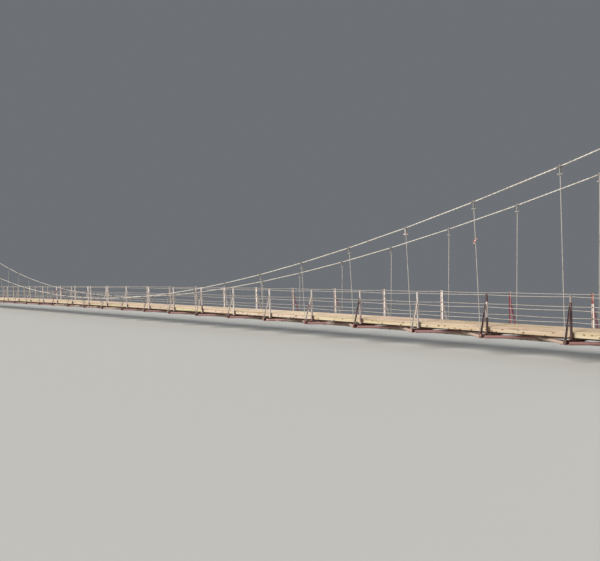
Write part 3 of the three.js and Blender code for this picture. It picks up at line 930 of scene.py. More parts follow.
# %% Deck framing
BOARD_THICKNESS = 40
BOARD_INSET = 7
SLEEPER_WIDTH = 120
JOINT_GAP = 4
STRINGERS = [(0, 80), (-485, 60), (485, 60)]
board_y = DECK_HALF_WIDTH - BOARD_INSET - BOARD_THICKNESS / 2
bearer_depth = DECK_DEPTH - PLANK_THICKNESS
draw = random.Random(4)


def timber_shape(name, length, width, depth):
    """A piece of sawn timber that hangs from its top face."""
    shape = bmesh.new()
    add_box(shape, (-length / 2, -width / 2, -depth), (length / 2, width / 2, 0))
    return drawn(name, shape, bevel=3)


def bay_mark(k, y):
    """A mark under the planks in the middle of a bay, pitched to the bay's slope."""
    x = bay_x(k) + BAY / 2
    slope = (deck_z(bay_x(k + 1)) - deck_z(bay_x(k))) / BAY
    place = (x, y, straight(deck_z, x) - PLANK_THICKNESS)
    return mark(place, turn=(0, -math.atan(slope), 0), look=(0, 0, draw.random()))


def lines_of(section):
    """The bay lines of a section. Its last line belongs to the next section, apart from the end one."""
    lines = list(bays_of(section))
    return lines + [BAY_COUNT] if section == SECTIONS[-1] else lines


for section in SECTIONS:
    edge_marks = [bay_mark(k, side * board_y) for k in bays_of(section) for side in (-1, 1)]
    edge = timber_shape("edge_board", BAY - JOINT_GAP, BOARD_THICKNESS, EDGE_DEPTH - PLANK_THICKNESS)
    new_piece(f"edge_boards_{section}", [copied("edge_boards", edge, edge_marks, edge_pine)])
    bearers = []
    for y, width in STRINGERS:
        marks = [bay_mark(k, y) for k in bays_of(section)]
        stringer = timber_shape("stringer", BAY - SLEEPER_WIDTH - JOINT_GAP, width, bearer_depth)
        bearers.append(copied("stringers", stringer, marks, shade_darkened_bearer_wood))
    sleeper = timber_shape("sleeper", SLEEPER_WIDTH, 2 * board_y - BOARD_THICKNESS - 2, bearer_depth)
    marks = []
    for k in lines_of(section):
        place = (bay_x(k), 0, deck_z(bay_x(k)) - PLANK_THICKNESS)
        marks.append(mark(place, look=(0, 0, draw.random())))
    bearers.append(copied("sleepers", sleeper, marks, shade_darkened_bearer_wood))
    new_piece(f"deck_bearers_{section}", bearers)
print("edge boards:", 2 * BAY_COUNT, "sleepers:", BAY_COUNT + 1)

# %% [markdown]
# ## Crossbeams
# A crossbeam is a steel channel under each bay line that sticks out on both sides of the deck. It has an
# end plate for the hanger's lug, and stiffeners in its open side, two of them under the post and the brace.
# It could be cut out of a box with booleans, but an outline pushed along Y gives clean faces at once. It is
# drawn once, and each copy has its own wear. Wooden cleats beside the posts hold the edge boards.

# %% Crossbeams and cleats
STEEL = 8
BEAM_WIDTH = 60
STIFFENER_PLACES = [POST_Y, 915, 200]
END_PLATE_HALF = 37
END_PLATE_LIP = 7
CLEAT_X = 47
ALONG_Y = Matrix(((1, 0, 0, 0), (0, 0, 1, 0), (0, 1, 0, 0), (0, 0, 0, 1)))
draw = random.Random(5)


def crossbeam_shape():
    """A channel open towards +X, seen from the middle of its top, with its plates and stiffeners."""
    shape = bmesh.new()
    half, low, reach = BEAM_WIDTH / 2, -BEAM_DEPTH, BEAM_HALF_LENGTH - STEEL
    channel = [(-half, low), (half, low), (half, low + STEEL), (STEEL - half, low + STEEL)]
    channel += [(STEEL - half, -STEEL), (half, -STEEL), (half, 0), (-half, 0)]
    add_prism(shape, channel, -reach, reach, ALONG_Y)
    for side in (-1, 1):
        near, far = sorted((side * reach, side * BEAM_HALF_LENGTH))
        add_box(shape, (-END_PLATE_HALF, near, low - END_PLATE_LIP), (END_PLATE_HALF, far, END_PLATE_LIP))
        for y in STIFFENER_PLACES:
            low_corner = (STEEL - half, side * y - STEEL / 2, low + STEEL)
            add_box(shape, low_corner, (half - 3, side * y + STEEL / 2, -STEEL))
    return drawn("crossbeam", shape, bevel=1.2)


def cleat_shape():
    shape = bmesh.new()
    add_box(shape, (-20, 0, -140), (20, 27, -12))
    for z in (-112, -44):
        add_rod(shape, (0, 26, z), (0, 33, z), 9, 6)
    return drawn("cleat", shape, bevel=2)


def inner_lines(section):
    """The bay lines of a section that have a crossbeam."""
    return [k for k in lines_of(section) if 0 < k < BAY_COUNT]


for section in SECTIONS:
    beams, cleats = [], []
    for k in inner_lines(section):
        x, top = bay_x(k), deck_z(bay_x(k))
        look = (draw.uniform(0.5, 0.9), draw.uniform(0.2, 0.6), draw.random())
        beams.append(mark((x, 0, top - DECK_DEPTH - SEAT_GAP), look=look))
        for side, turn in ((-1, math.pi), (1, 0)):
            place = (x + CLEAT_X, side * DECK_HALF_WIDTH, top)
            cleats.append(mark(place, turn=(0, 0, turn), look=(0, 0, draw.random())))
    replaced = [f"crossbeam_{k:02d}" for k in inner_lines(section)]
    channels = copied("crossbeams", crossbeam_shape(), beams, beam_paint)
    new_piece(f"crossbeams_{section}", [channels], replaced)
    new_piece(f"deck_cleats_{section}", [copied("cleats", cleat_shape(), cleats, cleat_pine)])
print("crossbeams:", BAY_COUNT - 1)

# %% [markdown]
# ## Nails
# Two nails hold each plank end to its sleeper, and two more go through each end of the edge boards. They
# could be spots in the material, but a head that stands up catches the low sun. It is a low six-sided
# button: with more than a thousand of them, the shape must stay this small.

# %% Nail heads
NAIL_FROM_JOINT = 32
NAIL_FROM_MIDDLE = 38
NAIL_DRIFT = 5
SIDE_NAIL_DROPS = (75, 120)


def nail_shape():
    shape = bmesh.new()
    add_cone(shape, (0, 0, -3), (0, 0, 2.5), 7, 4.5, 6)
    return drawn("nail", shape)


nail_marks, side_marks = [], []
for k in range(BAY_COUNT + 1):
    for step in (-1, 1):
        x = bay_x(k) + step * NAIL_FROM_JOINT
        for plank in range(PLANKS_ACROSS):
            middle_y = (plank - (PLANKS_ACROSS - 1) / 2) * plank_pitch
            for offset in (-NAIL_FROM_MIDDLE, NAIL_FROM_MIDDLE):
                drift = draw.uniform(-NAIL_DRIFT, NAIL_DRIFT)
                nail_marks.append(mark((x + drift, middle_y + offset, deck_z(x))))
        for side in (-1, 1):
            for drop in SIDE_NAIL_DROPS:
                place = (x, side * (board_y + BOARD_THICKNESS / 2), deck_z(x) - drop)
                side_marks.append(mark(place, turn=(-side * math.pi / 2, 0, 0)))
nails = [copied("nails", nail_shape(), marks, nail_steel) for marks in (nail_marks, side_marks)]
new_piece("deck_nails", nails)
print("nails:", len(nail_marks) + len(side_marks))

# %% [markdown]
# ## Railings
# Each railing is a row of angle-iron posts on the crossbeams, a brace from each inner post out to the
# beam's end, and three wires. On the real bridge no two posts stand quite alike: some lean, and each has
# worn in its own way, from chalky white to crimson undercoat and dark rust, often in bands. So the posts are
# copies on marks, with a small seeded lean, and `worn_posts` gives those nearest the camera the bands that
# the photograph shows.

# %% Posts and braces
FOOT_PLATE = 9
BRACE_TOP = 740
BRACE_TOP_Y = 625
BRACE_FOOT_Y = 925
POST_LEAN = math.radians(0.7)
draw = random.Random(23)

# At a bay line: redness, darkness and chalkiness of the post's middle, then redness and darkness of its tip
# band and the height where it starts, the same for its foot band and where it ends, then redness and
# darkness of the brace
worn_posts = {
    ("front", 24): ((0.30, 0.65, 0.0), (0.05, 0.15, 950), (0.15, 0.95, 730), (0.35, 0.85)),
    ("front", 23): ((0.05, 0.05, 0.6), (0.15, 0.85, 900), (0.25, 0.85, 470), (0.10, 0.80)),
    ("front", 22): ((0.10, 0.15, 0.5), (0.05, 0.00, 1000), (0.20, 0.45, 260), (0.20, 0.25)),
    ("front", 21): ((0.25, 0.10, 0.4), (0.05, 0.00, 900), (0.50, 0.40, 300), (0.65, 0.60)),
    ("front", 20): ((0.45, 0.20, 0.5), (0.05, 0.00, 980), (0.60, 0.50, 330), (0.45, 0.35)),
    ("back", 24): ((0.05, 0.00, 0.8), (0.95, 0.00, 850), (0.55, 0.05, 650), (1.00, 0.05)),
    ("back", 23): ((1.00, 0.05, 0.2), (0.00, 0.00, 1060), (0.85, 0.10, 330), (0.85, 0.10)),
    ("back", 22): ((0.00, 0.00, 1.0), (0.05, 0.00, 1000), (0.10, 0.05, 300), (0.10, 0.00)),
    ("back", 19): ((0.40, 0.10, 0.5), (0.05, 0.00, 1000), (0.30, 0.20, 300), (0.95, 0.00)),
}


def angle_points(width, thickness):
    """The L-shaped section of an angle iron, centred, with its corner towards +X and -Y."""
    half, inner = width / 2, width / 2 - thickness
    return [(half, -half), (half, half), (inner, half), (inner, -inner), (-half, -inner), (-half, -half)]


def post_shape():
    shape = bmesh.new()
    add_prism(shape, angle_points(50, 6), 0, POST_TOP + DECK_DEPTH - SEAT_GAP)
    add_box(shape, (-36, -46, 0), (36, 46, FOOT_PLATE))
    for y in (-36, 36):
        add_pin(shape, 0, y, FOOT_PLATE - 1, FOOT_PLATE + 10, 10)
    return drawn("post", shape)


def brace_shape():
    shape = bmesh.new()
    rise, run = BRACE_TOP + DECK_DEPTH, BRACE_FOOT_Y - BRACE_TOP_Y
    slant = Matrix.Rotation(math.atan2(run, rise), 4, "X")
    add_prism(shape, angle_points(40, 5), 6, math.hypot(rise, run), slant)
    add_box(shape, (-32, -24, 0), (32, 50, FOOT_PLATE))
    add_pin(shape, 0, 38, FOOT_PLATE - 1, FOOT_PLATE + 10, 10)
    return drawn("brace", shape)


def random_band(low, high, most_dark):
    return (draw.uniform(0.0, 0.5), draw.uniform(0.0, most_dark), draw.uniform(low, high))


def wear_of(side, k):
    """The post's middle, tip band, foot band and brace, as the table says or else at random."""
    middle = (draw.uniform(0.0, 0.45), draw.uniform(0.0, 0.2), draw.uniform(0.4, 1.0))
    tip, foot = random_band(800, 1080, 0.3), random_band(150, 450, 0.6)
    brace = (draw.uniform(0.1, 0.6), draw.uniform(0.0, 0.3))
    return worn_posts.get((side, k), (middle, tip, foot, brace))


def railing_marks(side):
    posts, braces = [], []
    facing = 0 if side == "front" else math.pi
    for k in range(BAY_COUNT + 1):
        x, beam_top = bay_x(k), deck_z(bay_x(k)) - DECK_DEPTH
        middle, tip, foot, brace = wear_of(side, k)
        lean = (draw.uniform(-POST_LEAN, POST_LEAN), draw.uniform(-POST_LEAN, POST_LEAN), facing)
        bands = {"tip": (*tip[:2], mm(tip[2])), "foot": (*foot[:2], mm(foot[2]))}
        posts.append(mark((x, SIDES[side] * POST_Y, beam_top), turn=lean, look=middle, **bands))
        if 0 < k < BAY_COUNT:
            skew = (0, draw.uniform(-POST_LEAN, POST_LEAN), facing + math.pi)
            place = (x + 4, SIDES[side] * BRACE_FOOT_Y, beam_top)
            braces.append(mark(place, turn=skew, look=(*brace, draw.random())))
    return posts, braces


print("post height over the deck:", POST_TOP, "mm")

# %% [markdown]
# ### Sweeping along a path
# The wires are drawn as one path from end to end that dips a little in each bay, and a second tree sweeps a
# round section along it. The same tree makes the twisted main cables later, so it has inputs for the lobes
# of the section and for the turns of its twist, and it leaves `run` and `around` on the surface.

# %% The sweep tree
sweep_inputs = [
    ("Path", "Geometry", None),
    ("Finish", "Material", None),
    ("Radius", "Float", 0.01),
    ("Sides", "Int", 8),
    ("Lobes", "Float", 0.0),
    ("Lobe depth", "Float", 0.0),
    ("Turns", "Float", 0.0),
    ("Steps", "Int", 0),
]
sweep_group = new_group("sweep_along_path", sweep_inputs, [("Swept", "Geometry")], "GeometryNodeTree")
sweep, sweep_in, sweep_out = sweep_group
line = add_node(sweep, "GeometryNodeMeshToCurve", i0=sweep_in["Path"]).outputs[0]
step_feeds = {"Curve": line, "Count": sweep_in["Steps"]}
line = add_node(sweep, "GeometryNodeResampleCurve", {"mode": "COUNT"}, **step_feeds).outputs[0]
progress = add_node(sweep, "GeometryNodeSplineParameter").outputs
twist = times(sweep, times(sweep, progress["Factor"], sweep_in["Turns"]), 2 * math.pi)
line = add_node(sweep, "GeometryNodeSetCurveNormal", {"mode": "Z_UP"}, Curve=line).outputs[0]
line = add_node(sweep, "GeometryNodeSetCurveTilt", Curve=line, Tilt=twist).outputs[0]
line = stored(sweep, line, "run", progress["Length"], "FLOAT")

ring_feeds = {"Resolution": sweep_in["Sides"], "Radius": sweep_in["Radius"]}
ring = add_node(sweep, "GeometryNodeCurvePrimitiveCircle", **ring_feeds).outputs[0]
round_share = add_node(sweep, "GeometryNodeSplineParameter").outputs["Factor"]
lobe_angle = times(sweep, times(sweep, round_share, sweep_in["Lobes"]), 2 * math.pi)
dip = scaled(sweep, maths(sweep, "COSINE", lobe_angle), -0.5, 0.5)
shrink = inverse(sweep, times(sweep, dip, sweep_in["Lobe depth"]))
ring_place = add_node(sweep, "GeometryNodeInputPosition").outputs[0]
ring_place = resized(sweep, ring_place, shrink)
ring = add_node(sweep, "GeometryNodeSetPosition", Geometry=ring, Position=ring_place).outputs[0]
ring = stored(sweep, ring, "around", round_share, "FLOAT")

swept = add_node(sweep, "GeometryNodeCurveToMesh", Curve=line, Profile_Curve=ring, Fill_Caps=True).outputs[0]
feed(sweep, sweep_out["Swept"], coated(sweep, swept, sweep_in["Finish"]))


def swept_along(name, points, material, radius, sides, steps, lobes=0.0, depth=0.0, turns=0.0):
    """A section swept along a path of points in real millimetres."""
    path = bpy.data.meshes.new(name + "_path")
    edges = [(i, i + 1) for i in range(len(points) - 1)]
    path.from_pydata([tuple(mm(number) for number in point) for point in points], edges, [])
    values = {"Finish": material, "Radius": mm(radius), "Sides": sides, "Steps": steps}
    values |= {"Lobes": lobes, "Lobe depth": depth, "Turns": float(turns)}
    return smoothed(made_real(name, path, sweep, values), 70)


print("sweep tree:", len(sweep.nodes), "nodes")

# %% [markdown]
# ### Wires and clips
# A wire is never quite straight between its posts, and a row of perfect lines would look drawn. So each bay
# gets its own small dip and sway. A bent staple ties each wire to each post.

# %% Wires and clips
WIRE_RADIUS = 8
POINTS_PER_BAY = 6


def wire_points(side, height):
    """One wire from the first post to the last, with a small dip in each bay."""
    points = []
    for k in range(BAY_COUNT):
        dip = draw.uniform(6, 26)
        sway = draw.uniform(-8, 8)
        for step in range(POINTS_PER_BAY):
            share = step / POINTS_PER_BAY
            arch = 4 * share * (1 - share)
            x = bay_x(k) + BAY * share
            points.append((x, SIDES[side] * POST_Y + sway * arch, straight(deck_z, x) + height - dip * arch))
    points.append((bay_x(BAY_COUNT), SIDES[side] * POST_Y, DECK_END_Z + height))
    return points


def clip_shape():
    shape = bmesh.new()
    add_rod(shape, (-14, 0, 0), (14, 0, 0), 13, 6)
    add_rod(shape, (0, -34, 0), (0, 30, 0), 5, 6)
    return drawn("clip", shape)


wire_steps = BAY_COUNT * POINTS_PER_BAY + 1
for side in SIDES:
    post_marks, brace_marks = railing_marks(side)
    posts = copied("posts", post_shape(), post_marks, post_paint)
    new_piece(f"{side}_rail_posts", [posts], [f"{side}_railing"])
    braces = copied("braces", brace_shape(), brace_marks, rail_paint)
    new_piece(f"{side}_rail_braces", [braces])
    meshes, clips = [], []
    for height in WIRE_HEIGHTS:
        path = wire_points(side, height)
        meshes.append(swept_along("wire", path, wire_steel, WIRE_RADIUS, 6, wire_steps))
    for k in range(BAY_COUNT + 1):
        for height in WIRE_HEIGHTS:
            clips.append(mark((bay_x(k), SIDES[side] * POST_Y, deck_z(bay_x(k)) + height)))
    meshes.append(copied("clips", clip_shape(), clips, fitting_zinc))
    new_piece(f"{side}_rail_wires", meshes)
print("posts:", 2 * (BAY_COUNT + 1))

# %% [markdown]
# ## Main cables
# Each main cable is a pair of wire ropes laid round each other, which is why it looks like a string of pale
# beads from the bank. The path goes from one anchor block over both saddles to the other. A section with two
# lobes is swept along it with a full turn every 280 mm. A simple tube would lose the beads, and modelling
# every strand would need millions of faces, so the strands stay in the material.

# %% Cable path
SADDLE_X = TOWER_X - 90
SADDLE_RADIUS = 450
SADDLE_STEPS = 10
ANCHOR = (37700, 600)


def cable_slope(x):
    return 2 * CABLE_SAG * x / TOWER_X**2


def saddle_arc():
    """Centre height of the saddle, and the angles at which the cable meets and leaves it."""
    inner = math.atan(cable_slope(TOWER_X))
    for _ in range(4):
        inner = math.atan(cable_slope(SADDLE_X - SADDLE_RADIUS * math.sin(inner)))
    centre = cable_z(SADDLE_X - SADDLE_RADIUS * math.sin(inner)) - SADDLE_RADIUS * math.cos(inner)
    away, down = ANCHOR[0] - SADDLE_X, ANCHOR[1] - centre
    outer = math.asin(SADDLE_RADIUS / math.hypot(away, down)) - math.atan2(down, away)
    return centre, inner, outer


saddle_z, inner_angle, outer_angle = saddle_arc()
leg_y = HANGER_Y + CABLE_FLARE


def over_saddle(angle, radius):
    """X and Z at a radius from the saddle's centre, at an angle from straight up."""
    return SADDLE_X + radius * math.sin(angle), saddle_z + radius * math.cos(angle)


def cable_side_y(reach):
    if reach < TOWER_X:
        return cable_y(reach)
    return leg_y + (reach - TOWER_X) * 2 * CABLE_FLARE / TOWER_X


def cable_points(side):
    """Points from anchor to anchor: along the bay lines, over the saddles and down the backstays."""
    half = [(bay_x(k), cable_z(bay_x(k))) for k in range(BAY_COUNT // 2 + 1, BAY_COUNT)]
    for i in range(SADDLE_STEPS + 1):
        angle = -inner_angle + (inner_angle + outer_angle) * i / SADDLE_STEPS
        half.append(over_saddle(angle, SADDLE_RADIUS))
    half.append((ANCHOR[0] - 2, ANCHOR[1] + 2 * math.tan(outer_angle)))
    right = [(x, SIDES[side] * cable_side_y(x), z) for x, z in half]
    return [(-x, y, z) for x, y, z in reversed(right)] + right


print("cable leaves the saddles at", round(math.degrees(outer_angle), 1), "degrees")

# %% [markdown]
# ### Laying the ropes
# The number of turns follows from the path's length, so that the lay stays even from end to end. Eight
# sections to a turn are enough, because each bead is only 140 mm long.

# %% Lay the ropes
LAY_LENGTH = 280
SECTIONS_PER_TURN = 8
LOBE_DEPTH = 0.27


def path_length(points):
    return sum(math.dist(start, end) for start, end in zip(points, points[1:]))


for side in SIDES:
    points = cable_points(side)
    turns = round(path_length(points) / LAY_LENGTH)
    steps = turns * SECTIONS_PER_TURN + 1
    twisting = {"lobes": 2.0, "depth": LOBE_DEPTH, "turns": turns}
    rope = swept_along("rope", points, rope_steel, CABLE_RADIUS, 12, steps, **twisting)
    new_piece(f"{side}_main_rope", [rope], [f"{side}_main_cable"])
print("cable length:", round(path_length(points)), "mm, turns:", turns)

# %% [markdown]
# ## Hangers
# A hanger starts at a bolted clamp on the cable. A narrow stirrup goes down from the clamp to a short yoke,
# and a thin rod hangs from the yoke to a forked lug on the crossbeam's end. These parts could be parented
# to each other, but nothing here moves, so plain copies on marks are enough. The rod is drawn one
# millimetre long, and each mark stretches it to its length.

# %% Hanger shapes
YOKE_DROP = 190
LUG_HEIGHT = 120
LUG_PIN = LUG_HEIGHT - 30


def clamp_shape():
    """Two shells bolted round the cable, with a lifting tab on top. X runs along the cable."""
    shape = bmesh.new()
    add_rod(shape, (-74, 0, 0), (52, 0, 0), 31, 12)
    for z in (-4, 4):
        add_box(shape, (-50, -44, z - 3.5), (50, 44, z + 3.5))
    for x in (-32, 32):
        for y in (-37, 37):
            add_pin(shape, x, y, -26, 26, 5)
            add_pin(shape, x, y, 8, 18, 10)
            add_pin(shape, x, y, -18, -8, 10)
    add_box(shape, (-16, -6, 24), (16, 6, 50))
    return drawn("clamp", shape, bevel=1.5)


def stirrup_shape():
    """Two straps that hold the yoke under the clamp, seen from the cable's axis at the origin."""
    shape = bmesh.new()
    for y in (-19, 19):
        add_box(shape, (-12, y - 4, -YOKE_DROP - 8), (12, y + 4, -14))
    add_box(shape, (-70, -22, -YOKE_DROP - 13), (70, 22, -YOKE_DROP + 13))
    for x in (-58, 58):
        add_pin(shape, x, 0, -YOKE_DROP - 26, -YOKE_DROP + 26, 13)
    add_pin(shape, 0, 0, -YOKE_DROP - 44, -YOKE_DROP - 13, 17)
    add_rod(shape, (0, -30, -YOKE_DROP + 22), (0, 30, -YOKE_DROP + 22), 8, 8)
    return drawn("stirrup", shape, bevel=1.5)


def rod_shape():
    shape = bmesh.new()
    add_prism(shape, ring_points(10, 8), 0, 1)
    return drawn("rod", shape)


def lug_shape():
    """A forked lug, bolted to the crossbeam's end plate, with the rod's eye pinned in it."""
    shape = bmesh.new()
    for y in (-9, 9):
        add_box(shape, (-34, y - 5, 0), (34, y + 5, LUG_HEIGHT))
    for reach, radius, sides in ((22, 11, 8), (3.5, 24, 12)):
        add_rod(shape, (0, -reach, LUG_PIN), (0, reach, LUG_PIN), radius, sides)
    add_pin(shape, 0, 0, LUG_PIN + 4, LUG_HEIGHT + 70, 15, 8)
    return drawn("lug", shape, bevel=1.5)


print("hanger shapes ready")

# %% [markdown]
# ### Placing the hangers
# The clamp tilts with the cable, while the stirrup and rod stay plumb in the side view and lean outwards a
# little with the cable's flare. The photograph shows two hangers that differ from the rest: the clamp of the
# nearest one in front has slipped along the cable and its lug is rusty, and two bay lines further the
# stirrup is painted and stands wider.

# %% Place the hangers
slipped_clamps = {("front", 24): 80}
rusty_lugs = {("front", 24): (0.9, 0.85, 0.5)}
painted_stirrups = {("front", 22): (0.42, 0.02, 0.4)}
PAINTED_STRETCH = (1.15, 1.5, 1.04)
draw = random.Random(31)


def hanger_line(side, k):
    """Where a hanger's clamp, the top of its rod and its pin are."""
    x = bay_x(k)
    top_x = x + slipped_clamps.get((side, k), 0)
    top = Vector((top_x, SIDES[side] * cable_y(top_x), cable_z(top_x)))
    pin = Vector((x, SIDES[side] * HANGER_Y, deck_z(x) - DECK_DEPTH - BEAM_DEPTH + LUG_HEIGHT + 60))
    head = top - (top - pin).normalized() * (YOKE_DROP + 40)
    return top, head, pin


for side in SIDES:
    clamps, stirrups, painted, rods, lugs = [], [], [], [], []
    for k in range(1, BAY_COUNT):
        top, head, pin = hanger_line(side, k)
        line = top - pin
        hang = (-math.atan2(line.y, line.z), math.asin(line.x / line.length), 0)
        look = (0.3, 0.2, draw.random())
        tilt = (0, -math.atan(cable_slope(abs(top.x))), 0 if top.x > 0 else math.pi)
        clamps.append(mark(top, turn=tilt, look=look))
        if (side, k) in painted_stirrups:
            painted.append(mark(top, turn=hang, stretch=PAINTED_STRETCH, look=painted_stirrups[side, k]))
        else:
            stirrups.append(mark(top, turn=hang, look=look))
        rods.append(mark(pin, turn=hang, stretch=(1, 1, (head - pin).length), look=look))
        wear = rusty_lugs.get((side, k)) or (draw.uniform(0.3, 0.8), draw.uniform(0.2, 0.5), 0)
        lugs.append(mark(pin - Vector((0, 0, LUG_HEIGHT + 60)), look=wear))
    heads = [copied("clamps", clamp_shape(), clamps, fitting_zinc)]
    heads.append(copied("stirrups", stirrup_shape(), stirrups, fitting_zinc))
    if painted:
        heads.append(copied("painted_stirrups", stirrup_shape(), painted, rail_paint))
    new_piece(f"{side}_hanger_heads", heads)
    new_piece(f"{side}_hanger_rods", [copied("rods", rod_shape(), rods, rod_steel)])
    new_piece(f"{side}_hanger_lugs", [copied("lugs", lug_shape(), lugs, lug_paint)])
print("hangers:", 2 * (BAY_COUNT - 1))

# %% [markdown]
# ## Barrier tape
# A strip of barrier tape is knotted round a hanger on the near side, faded and crumpled, with two short
# twisted ends. Each end is a chain of thin sections whose direction turns on the way down, closed all round,
# so it stays a solid however thin it is. It is too small for a cloth simulation to show.

# %% Barrier tape
TAPE_BAY_LINE = 23
TAPE_HEIGHT = 2470
TAIL_STEPS = 10


def add_tail(shape, lean, reach, phase, width):
    """One hanging end of the tape, which twists and sways on its way down."""
    rings = []
    for i in range(TAIL_STEPS + 1):
        share = i / TAIL_STEPS
        sway = -16 - 22 * math.sin(phase + 5 * share) * share
        centre = Vector((lean * reach * share, sway, -reach * share))
        across = Vector((math.cos(phase + 2 * share), math.sin(phase + 2 * share), 0))
        out = Vector((across.y, -across.x, 0))
        across *= width / 2
        corners = (-across - out, across - out, across + out, -across + out)
        rings.append([centre + corner for corner in corners])
    add_skin(shape, rings)


def tape_shape():
    """Three bulges of crumpled tape round the rod, and the two ends."""
    shape = bmesh.new()
    add_pin(shape, 0, 0, -34, 34, 20, 12)
    add_rod(shape, (-62, -14, -46), (58, -18, 40), 24, 8)
    add_rod(shape, (-20, -20, -50), (46, -26, 8), 20, 8)
    add_tail(shape, -0.85, 110, 0.3, 70)
    add_tail(shape, -0.35, 90, 2.1, 55)
    return drawn("tape", shape)


top, _, pin = hanger_line("front", TAPE_BAY_LINE)
tape_share = (deck_z(bay_x(TAPE_BAY_LINE)) + TAPE_HEIGHT - pin.z) / (top.z - pin.z)
tape = copied("tape", tape_shape(), [mark(pin.lerp(top, tape_share))], tape_film)
new_piece("barrier_tape", [tape])
print("tape at", round(tape_share, 2), "of its hanger")

# %% [markdown]
# ## Wind bracing
# Between the crossbeams, pipes cross in every bay from beam end to beam end and keep the deck from swaying.
# From the bank they show as pink and cream bars below the fascia boards. They could be swept along paths
# like the ropes, but a straight pipe only needs to be stretched. So each is a copy of one drawn pipe, turned
# in plan and pitched to its bay. It fits over a plate under each beam end, or over a bolted bracket at the
# abutment.

# %% Crossed pipes and their plates
PIPE_RADIUS = 46
PIPE_END_Y = 860
PIPE_STOP = 66
PIPE_RISE = 22
GUSSET_HALF = 70
GUSSET_REACH = 150
GUSSET_THICKNESS = 10
BOLT = 11
ABUTMENT_FACE = TOWER_X - 300 - SEAT_GAP
ALONG_X = Matrix(((0, 0, 1, 0), (1, 0, 0, 0), (0, 1, 0, 0), (0, 0, 0, 1)))
draw = random.Random(47)


def pipe_shape(name, radius, sides):
    """A millimetre of pipe along X, to be stretched to its length."""
    shape = bmesh.new()
    add_prism(shape, ring_points(radius, sides), -0.5, 0.5, ALONG_X)
    return drawn(name, shape)


def gusset_shape():
    """The plate under a beam end, with the heads of the bolts that hold it to the beam."""
    shape = bmesh.new()
    add_box(shape, (-GUSSET_REACH, -GUSSET_HALF, -GUSSET_THICKNESS), (GUSSET_REACH, GUSSET_HALF, 0))
    for x in (-18, 18):
        for y in (-30, 30):
            add_pin(shape, x, y, -20, -9, BOLT)
    return drawn("gusset", shape, bevel=1.5)


def bracket_shape():
    """The plate of an end bay's pipe, welded to one that is bolted to the abutment."""
    shape = bmesh.new()
    add_box(shape, (0, -GUSSET_HALF, -GUSSET_THICKNESS), (GUSSET_REACH, GUSSET_HALF, 0))
    add_box(shape, (0, -GUSSET_HALF, -70), (GUSSET_THICKNESS, GUSSET_HALF, 70))
    for y in (-30, 30):
        add_rod(shape, (9, y, -45), (20, y, -45), BOLT, 6)
    return drawn("bracket", shape, bevel=1.5)


def carrier_x(k):
    """Where the crossbeam or the abutment that carries a pipe's end is."""
    return min(max(bay_x(k), -ABUTMENT_FACE), ABUTMENT_FACE)


def plate_top(x):
    return deck_z(x) - DECK_DEPTH - BEAM_DEPTH - 2 * SEAT_GAP


def pipe_mark(start, end, look):
    """A mark that turns, pitches and stretches a millimetre of pipe to reach from start to end."""
    line = end - start
    turn = (0, -math.atan2(line.z, math.hypot(line.x, line.y)), math.atan2(line.y, line.x))
    return mark((start + end) / 2, turn=turn, stretch=(line.length, 1, 1), look=look)


def crossed_pipe(k, sign):
    """A pipe from one end of a crossbeam to the opposite end of the next crossbeam."""
    west, east = carrier_x(k) + PIPE_STOP, carrier_x(k + 1) - PIPE_STOP
    start = Vector((west, sign * PIPE_END_Y, plate_top(west) + PIPE_RISE))
    end = Vector((east, -sign * PIPE_END_Y, plate_top(east) + PIPE_RISE))
    pinkish = (0.65, 1.0) if k > BAY_COUNT - 5 else (0.45, 0.95)
    red = draw.uniform(*pinkish) if sign < 0 else draw.uniform(0.0, 0.35)
    return pipe_mark(start, end, (red, draw.uniform(0.0, 0.2), draw.random()))


print("pipes cross a bay at", round(math.degrees(math.atan(2 * PIPE_END_Y / BAY)), 1), "degrees")

# %% [markdown]
# ### Keel pipe
# A keel pipe runs along the middle, under the crossings, and shows as a brown line behind the other pipes.
# Straps made of bent bar hang it from the crossbeams, and couplings join its lengths in three of the five
# bays of a section.

# %% Keel pipe and the whole bracing
KEEL_RADIUS = 50
STRAP_HALF_WIDTH = 20
STRAP_HALF_THICKNESS = 4


def keel_length(k):
    start, end = (Vector((x, 0, plate_top(x) - KEEL_RADIUS)) for x in (carrier_x(k), carrier_x(k + 1)))
    return pipe_mark(start, end, (0.2, 0.5, draw.random()))


def strap_shape():
    """A bent bar round the keel pipe, with its two ends bolted up to the crossbeam."""
    shape = bmesh.new()
    bend, half = KEEL_RADIUS + 6, STRAP_HALF_WIDTH
    outer, inner = [], []
    for angle in (math.pi * i / 12 for i in range(13)):
        for points, radius in ((outer, bend + STRAP_HALF_THICKNESS), (inner, bend - STRAP_HALF_THICKNESS)):
            points.append((radius * math.cos(angle), -radius * math.sin(angle)))
    down = Matrix.Translation((0, 0, -KEEL_RADIUS))
    add_prism(shape, outer + inner[::-1], -half, half, down @ ALONG_X)
    for side in (-1, 1):
        y = side * bend
        add_box(shape, (-half, y - STRAP_HALF_THICKNESS, -KEEL_RADIUS), (half, y + STRAP_HALF_THICKNESS, 0))
        near, far = sorted((y - side * STRAP_HALF_THICKNESS, y + side * 36))
        add_box(shape, (-half, near, -8), (half, far, 0))
        add_pin(shape, 0, y + side * 20, -18, -7, BOLT)
    return drawn("strap", shape)


def coupling_shape():
    shape = bmesh.new()
    add_rod(shape, (-75, 0, 0), (75, 0, 0), KEEL_RADIUS + 6, 16)
    return drawn("coupling", shape, bevel=3)


